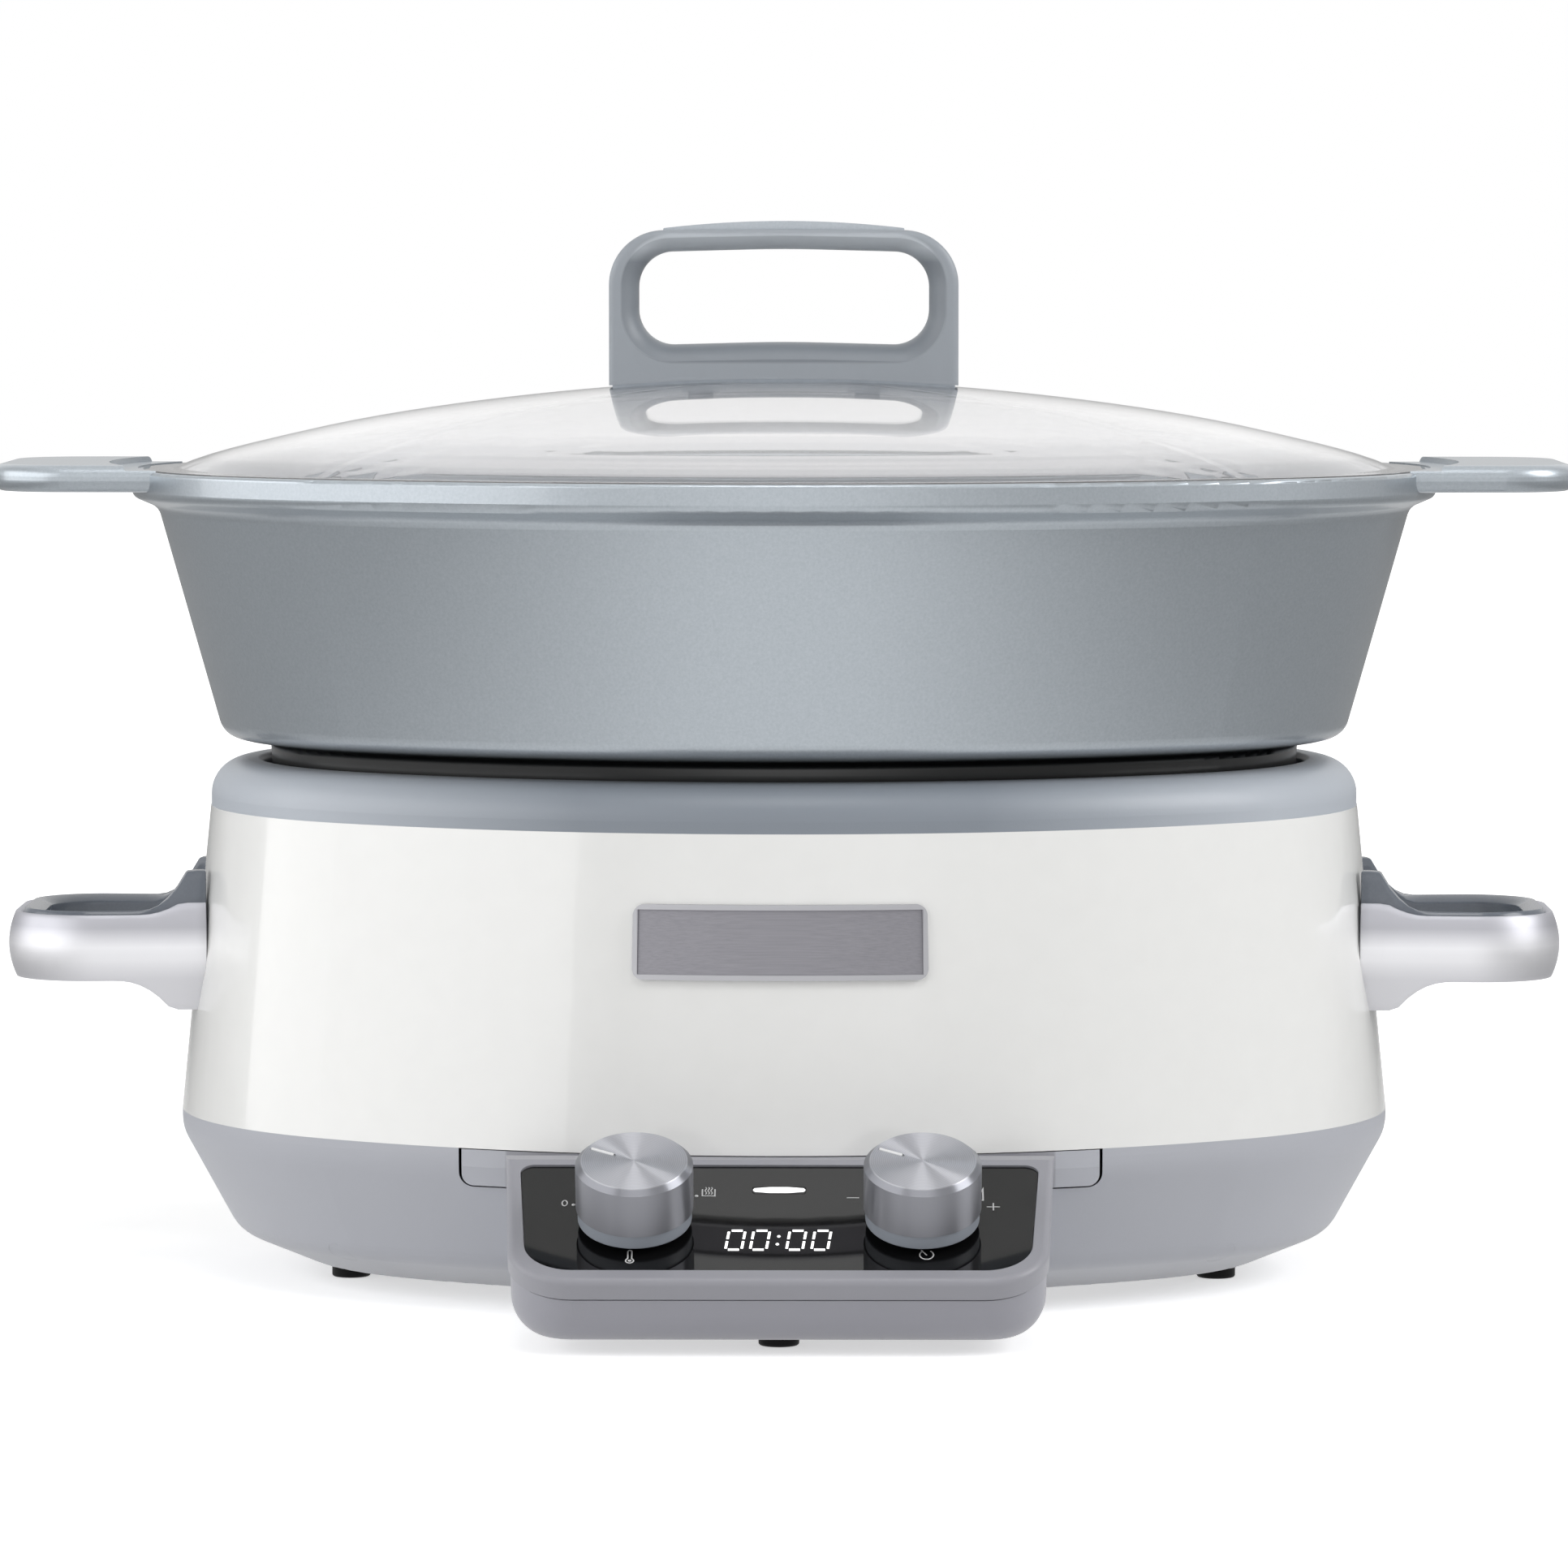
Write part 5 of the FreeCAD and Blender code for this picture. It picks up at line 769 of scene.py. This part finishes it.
def lay_on_panel(name, strokes, material, rise=0.05, body="base", height=0.5):
    """Join strokes, change their height by a factor, and lay them rise above the panel."""
    piece = join(strokes)
    piece.name = name
    piece.scale = (0.001, 0.001, 0.001 * height)
    bpy.ops.object.transform_apply(location=False, rotation=False, scale=True)
    piece.rotation_euler = (PANEL_TILT, 0, 0)
    piece.location = panel_point(0, 0, rise)
    bpy.ops.object.transform_apply(location=True, rotation=True, scale=True)
    piece.data.materials.clear()
    piece.data.materials.append(material)
    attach(piece, body)
    return piece


# %% [markdown]
# A digit of this display leans to the right. Only its upright bars lean; the level ones are moved
# across by the same amount, which gives the same figure as slanting the whole digit.

# %% Lit digits
DIGIT_LEFTS = (-15.2, -8.0, 2.55, 9.85)
DIGIT_WIDTH = 4.7
DIGIT_HEIGHT = 10.2
DIGIT_MIDDLE = -40.0
DIGIT_MARGIN = 0.3
COLON_PLACE = (-0.1, 2.1)
LEAN = math.tan(math.radians(5.5))
BAR_GAP = 0.5
LEVEL_BAR = 1.0
UPRIGHT_BAR = 0.75
half = DIGIT_HEIGHT / 2
bars = []
for left in DIGIT_LEFTS:
    middle = left + DIGIT_WIDTH / 2 + DIGIT_MARGIN
    for level in (half, -half):
        bars.append(add_bar(middle + level * LEAN, DIGIT_MIDDLE + level, DIGIT_WIDTH - BAR_GAP,
                            LEVEL_BAR, math.radians(90)))
    for side in (-1, 1):
        for level in (half / 2, -half / 2):
            bars.append(add_bar(middle + side * DIGIT_WIDTH / 2 + level * LEAN,
                                DIGIT_MIDDLE + level, half - BAR_GAP, UPRIGHT_BAR,
                                -math.atan(LEAN)))
for level in (COLON_PLACE[1], -COLON_PLACE[1]):
    bars.append(add_dot(COLON_PLACE[0] + level * LEAN, DIGIT_MIDDLE + level, 0.2, 0.3))
digits = lay_on_panel("timer_digits", bars, digit_light)
print("digit bars:", len(bars))

# %% Printed marks
# Off and a pot with steam beside the left knob, less and more (with a wedge) beside the right
# one, and below the knobs a thermometer and a switch, by places in millimetres on the panel.
LINE = 0.42
STEAM_LINE = 0.32
bulb = arc(-43.1, -51.0, 1.15, 1.25, 60, -240)
marks = [
    add_line(arc(-62.9, -20.0, 0.75, 1.45, 0, 360), LINE, True),
    add_dot(-60.3, -20.9),
    add_dot(-24.3, -16.0),
    add_line([(-22.6, -12.4), (-22.6, -16.0), (-18.9, -16.0), (-18.9, -12.4)], LINE),
    add_line([(19.9, -16.9), (23.5, -16.9)], LINE),
    add_line([(60.9, -21.8), (64.8, -21.8)], LINE),
    add_line([(62.85, -19.8), (62.85, -23.8)], LINE),
    add_line([(58.2, -18.2), (59.9, -18.2), (59.9, -12.2), (58.2, -17.6)], LINE, True),
    add_line(arc(43.1, -47.7, 2.0, 2.4, 55, -235), LINE),
    add_line([(41.6, -45.2), (43.2, -48.0)], LINE),
    add_line(bulb + arc(-43.1, -46.2, 0.6, 0.7, 180, 0), LINE, True),
    add_dot(-43.1, -51.0),
]
for wave in (-21.6, -20.75, -19.9):
    points = [(wave + 0.22 * math.sin(step * 0.9), -11.3 - 0.35 * step) for step in range(12)]
    marks.append(add_line(points, STEAM_LINE))
printed = lay_on_panel("panel_marks", marks, print_white)
print("printed marks:", len(marks))

# %% [markdown]
# The lit slit keeps its width over its middle part and narrows to blunt ends, so it is a circle
# of many corners, stretched across and squeezed to that outline.

# %% Lit slit
SLIT_HALF_LENGTH = 7.7
SLIT_HALF_WIDTH = 1.55
SLIT_SLOPE = -12.8
bpy.ops.object.select_all(action="DESELECT")
bpy.ops.mesh.primitive_circle_add(vertices=64, radius=1, fill_type="NGON")
slit = bpy.context.object
for vertex in slit.data.vertices:
    across = abs(vertex.co.x)
    taper = min(1.0, 1.25 - 0.7 * across)
    rounding = min(1.0, 12 * (1 - across) + 0.25)
    width = math.copysign(SLIT_HALF_WIDTH * taper * rounding, vertex.co.y)
    vertex.co = (SLIT_HALF_LENGTH * vertex.co.x, SLIT_SLOPE + width, 0)
extrude_up(slit, STROKE_HEIGHT)
slit = lay_on_panel("indicator_glow", [slit], lens_light)

# %% Knob pointers
# A thin line of pale enamel lies in each cap's groove and turns with the knob.
CAP_TOP = 22.1
POINTER_SINK = 0.15
POINTER_WIDTH = 0.9
POINTER_STRETCH = 1.5
POINTER_TURN = math.radians(27)
POINTER_ENDS = (14.0, 6.6)
for body, x in (("selector_knob", -KNOB_X), ("timer_knob", KNOB_X)):
    ends = [(x - length * math.cos(POINTER_TURN), KNOB_SLOPE + length * math.sin(POINTER_TURN))
            for length in POINTER_ENDS]
    pointer = lay_on_panel(f"{body}_pointer", [add_line(ends, POINTER_WIDTH)], pointer_enamel,
                           CAP_TOP - POINTER_SINK, body, POINTER_STRETCH)
print("pointers at", CAP_TOP, "mm above the panel")

# %% [markdown]
# ## Side handles
# Each side handle is a silver shell, swollen like a barrel, over a dark plastic loop. The loop
# stands a little above the silver and sweeps up to the cooker's wall. Both are soft forms, so
# each starts as a flat grid: one direction of the grid follows the loop in plan, the other goes
# from the lower to the upper edge. Solidify gives the sheet its thickness and Bevel its edges.

# %% The handle's path in plan
# In millimetres from the cooker's middle: x outwards, y along the cooker, and the outward normal.
HANDLE_START = 178.5
HANDLE_END = 242.0
HANDLE_HALF = 41.8
HANDLE_ROOT = (150.0, 31.8)
HANDLE_BEND = 25.8
LEG_STEPS = 12
BEND_STEPS = 16
END_STEPS = 3


def handle_path(start_x):
    """Points and normals round the loop, evenly spaced from one leg's root to the other's."""
    slope = math.atan2(HANDLE_HALF - HANDLE_ROOT[1], HANDLE_END - HANDLE_ROOT[0])
    turn = math.pi / 2 + slope
    reach = HANDLE_BEND * math.tan(turn / 2)
    corner_x = HANDLE_END - HANDLE_BEND
    corner_y = HANDLE_HALF - reach
    leg_start = (start_x, HANDLE_ROOT[1] + (start_x - HANDLE_ROOT[0]) * math.tan(slope))
    leg_end = (HANDLE_END - reach * math.cos(slope), HANDLE_HALF - reach * math.sin(slope))
    half_loop = []
    for step in range(LEG_STEPS + 1):
        share = step / LEG_STEPS
        half_loop.append((leg_start[0] + (leg_end[0] - leg_start[0]) * share,
                          leg_start[1] + (leg_end[1] - leg_start[1]) * share, turn))
    for step in range(1, BEND_STEPS + 1):
        angle = turn - turn * step / BEND_STEPS
        half_loop.append((corner_x + HANDLE_BEND * math.cos(angle),
                          corner_y + HANDLE_BEND * math.sin(angle), angle))
    for step in range(1, END_STEPS + 1):
        half_loop.append((HANDLE_END, corner_y * (1 - step / END_STEPS), 0.0))
    return half_loop + [(x, -y, -angle) for x, y, angle in reversed(half_loop[:-1])]


# %% The handle's height
# In millimetres. A sweep says between which distances from the middle an edge leaves its level,
# how far it goes, and with which power: the higher the power, the later it turns.
HANDLE_FULL = 104.2
BARREL_CURVE = 0.022
BARREL_BEND = 10
SILVER_TOP = 114.5
SILVER_BOTTOM = 93.7
SILVER_SWEEP = (199, 186.5, 3.6, 2.0)
LOOP_TOP = 115.6
LOOP_BOTTOM = 94.2
LOOP_SWEEP = (200, 184.2, 12.2, 2.5)
LOWER_SWEEP = (207, 189.3, 9.5, 2.3)
LOOP_INSET = 2.5


def sweep_near_wall(x, start, stop, height, power):
    """How far an edge has swept up (or down) at x, between two distances from the middle."""
    share = min(max((start - x) / (start - stop), 0.0), 1.0)
    return height * share ** power


def barrel(level):
    """How far the face falls back from its fullest height: a parabola, then straight on."""
    curved = min(abs(level), BARREL_BEND)
    return BARREL_CURVE * curved * (2 * abs(level) - curved)


def on_handle(side, point, z, back):
    """The place back millimetres inside a point of the path, at the height z."""
    x, y, angle = point
    return (side * (x - back * math.cos(angle)),
            1000 * OVAL_MIDDLE + y - back * math.sin(angle), z)


# %% Shape a grid


def shaped_grid(name, path, rows, place):
    """A grid with one column for each path point and the given rows, each vertex put in place."""
    bpy.ops.object.select_all(action="DESELECT")
    bpy.ops.mesh.primitive_grid_add(x_subdivisions=len(path) - 1, y_subdivisions=rows, size=2)
    piece = bpy.context.object
    piece.name = name
    for vertex in piece.data.vertices:
        column = round((vertex.co.x + 1) / 2 * (len(path) - 1))
        share = (vertex.co.y + 1) / 2
        vertex.co = [value / 1000 for value in place(path[column], share)]
    return piece


def thicken(piece, thickness, edge):
    """Turn a sheet into a solid with rounded edges, its faces outward, and smooth it."""
    choose_only(piece)
    solid = piece.modifiers.new("thickness", "SOLIDIFY")
    solid.thickness = thickness
    solid.offset = -1
    solid.use_even_offset = True
    bpy.ops.object.modifier_apply(modifier=solid.name)
    rounded = piece.modifiers.new("edges", "BEVEL")
    rounded.width = edge
    rounded.segments = 2
    rounded.limit_method = "ANGLE"
    rounded.angle_limit = math.radians(50)
    bpy.ops.object.modifier_apply(modifier=rounded.name)
    face_outward(piece)
    bpy.ops.object.shade_smooth_by_angle(angle=math.radians(40))


# %% Silver shells and dark loops
# Thickness and rounding of the edges, in metres.
HANDLE_ROWS = 14
SILVER_SHEET = (0.0024, 0.0004)
LOOP_SHEET = (0.0058, 0.0006)
for side, word in ((-1, "left"), (1, "right")):

    def silver_place(point, share, side=side):
        top = SILVER_TOP + sweep_near_wall(point[0], *SILVER_SWEEP)
        bottom = SILVER_BOTTOM - sweep_near_wall(point[0], *LOWER_SWEEP)
        z = bottom + (top - bottom) * share
        return on_handle(side, point, z, barrel(z - HANDLE_FULL))

    def loop_place(point, share, side=side):
        top = LOOP_TOP + sweep_near_wall(point[0], *LOOP_SWEEP)
        bottom = LOOP_BOTTOM - sweep_near_wall(point[0], *LOWER_SWEEP)
        z = bottom + (top - bottom) * share
        return on_handle(side, point, z, barrel(min(z, LOOP_TOP) - HANDLE_FULL) + LOOP_INSET)

    path = handle_path(HANDLE_START)
    if side > 0:
        path = path[::-1]
    silver = shaped_grid(f"{word}_handle_shell", path, HANDLE_ROWS, silver_place)
    thicken(silver, *SILVER_SHEET)
    silver.data.materials.append(chrome)
    loop = shaped_grid(f"{word}_handle_loop", path, HANDLE_ROWS, loop_place)
    thicken(loop, *LOOP_SHEET)
    loop.data.materials.append(handle_dark)
    for piece, slot in ((silver, "chrome"), (loop, "component_black")):
        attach(piece, "base")
        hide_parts(f"{word}_handle")
    print(word, "handle:", len(silver.data.polygons), "and", len(loop.data.polygons), "faces")

# %% [markdown]
# ## Plugs in the screw wells
# The housing is screwed to the ring from below. Its four screw wells break through the curved
# lower edge, and a plug of the same plastic closes each one flush with that curve. A plug starts
# as a square grid, drawn in to a disc; its height follows the curve outwards from the well's axis.

# %% Screw well plugs
WELL_PLACE = (134.06, 75.15)
WELL_OUTWARD = math.radians(50)
PLUG_RADIUS = 4.25
PLUG_DEPTH = 0.002
PLUG_GRID = 12
EDGE_CURVE = (13.66, 0.586, 0.0648, 0.0078)


def edge_height(outward):
    """Height of the housing's lower edge, so many millimetres outward from a well's axis."""
    return sum(factor * outward ** power for power, factor in enumerate(EDGE_CURVE))


plugs = []
for side, end in ((-1, -1), (1, -1), (-1, 1), (1, 1)):
    bpy.ops.object.select_all(action="DESELECT")
    bpy.ops.mesh.primitive_grid_add(x_subdivisions=PLUG_GRID, y_subdivisions=PLUG_GRID, size=2)
    plug = bpy.context.object
    for vertex in plug.data.vertices:
        x = PLUG_RADIUS * vertex.co.x * math.sqrt(1 - vertex.co.y ** 2 / 2)
        y = PLUG_RADIUS * vertex.co.y * math.sqrt(1 - vertex.co.x ** 2 / 2)
        outward = side * x * math.cos(WELL_OUTWARD) + end * y * math.sin(WELL_OUTWARD)
        vertex.co = ((side * WELL_PLACE[0] + x) / 1000,
                     OVAL_MIDDLE + (end * WELL_PLACE[1] + y) / 1000, edge_height(outward) / 1000)
    extrude_up(plug, PLUG_DEPTH)
    plugs.append(plug)
plug = join(plugs)
plug.name = "screw_well_plugs"
bpy.ops.object.shade_smooth_by_angle(angle=math.radians(40))
plug.data.materials.append(housing_grey)
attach(plug, "base")
print("plug faces:", len(plug.data.polygons))

bpy.context.scene.view_settings.view_transform = "Standard"
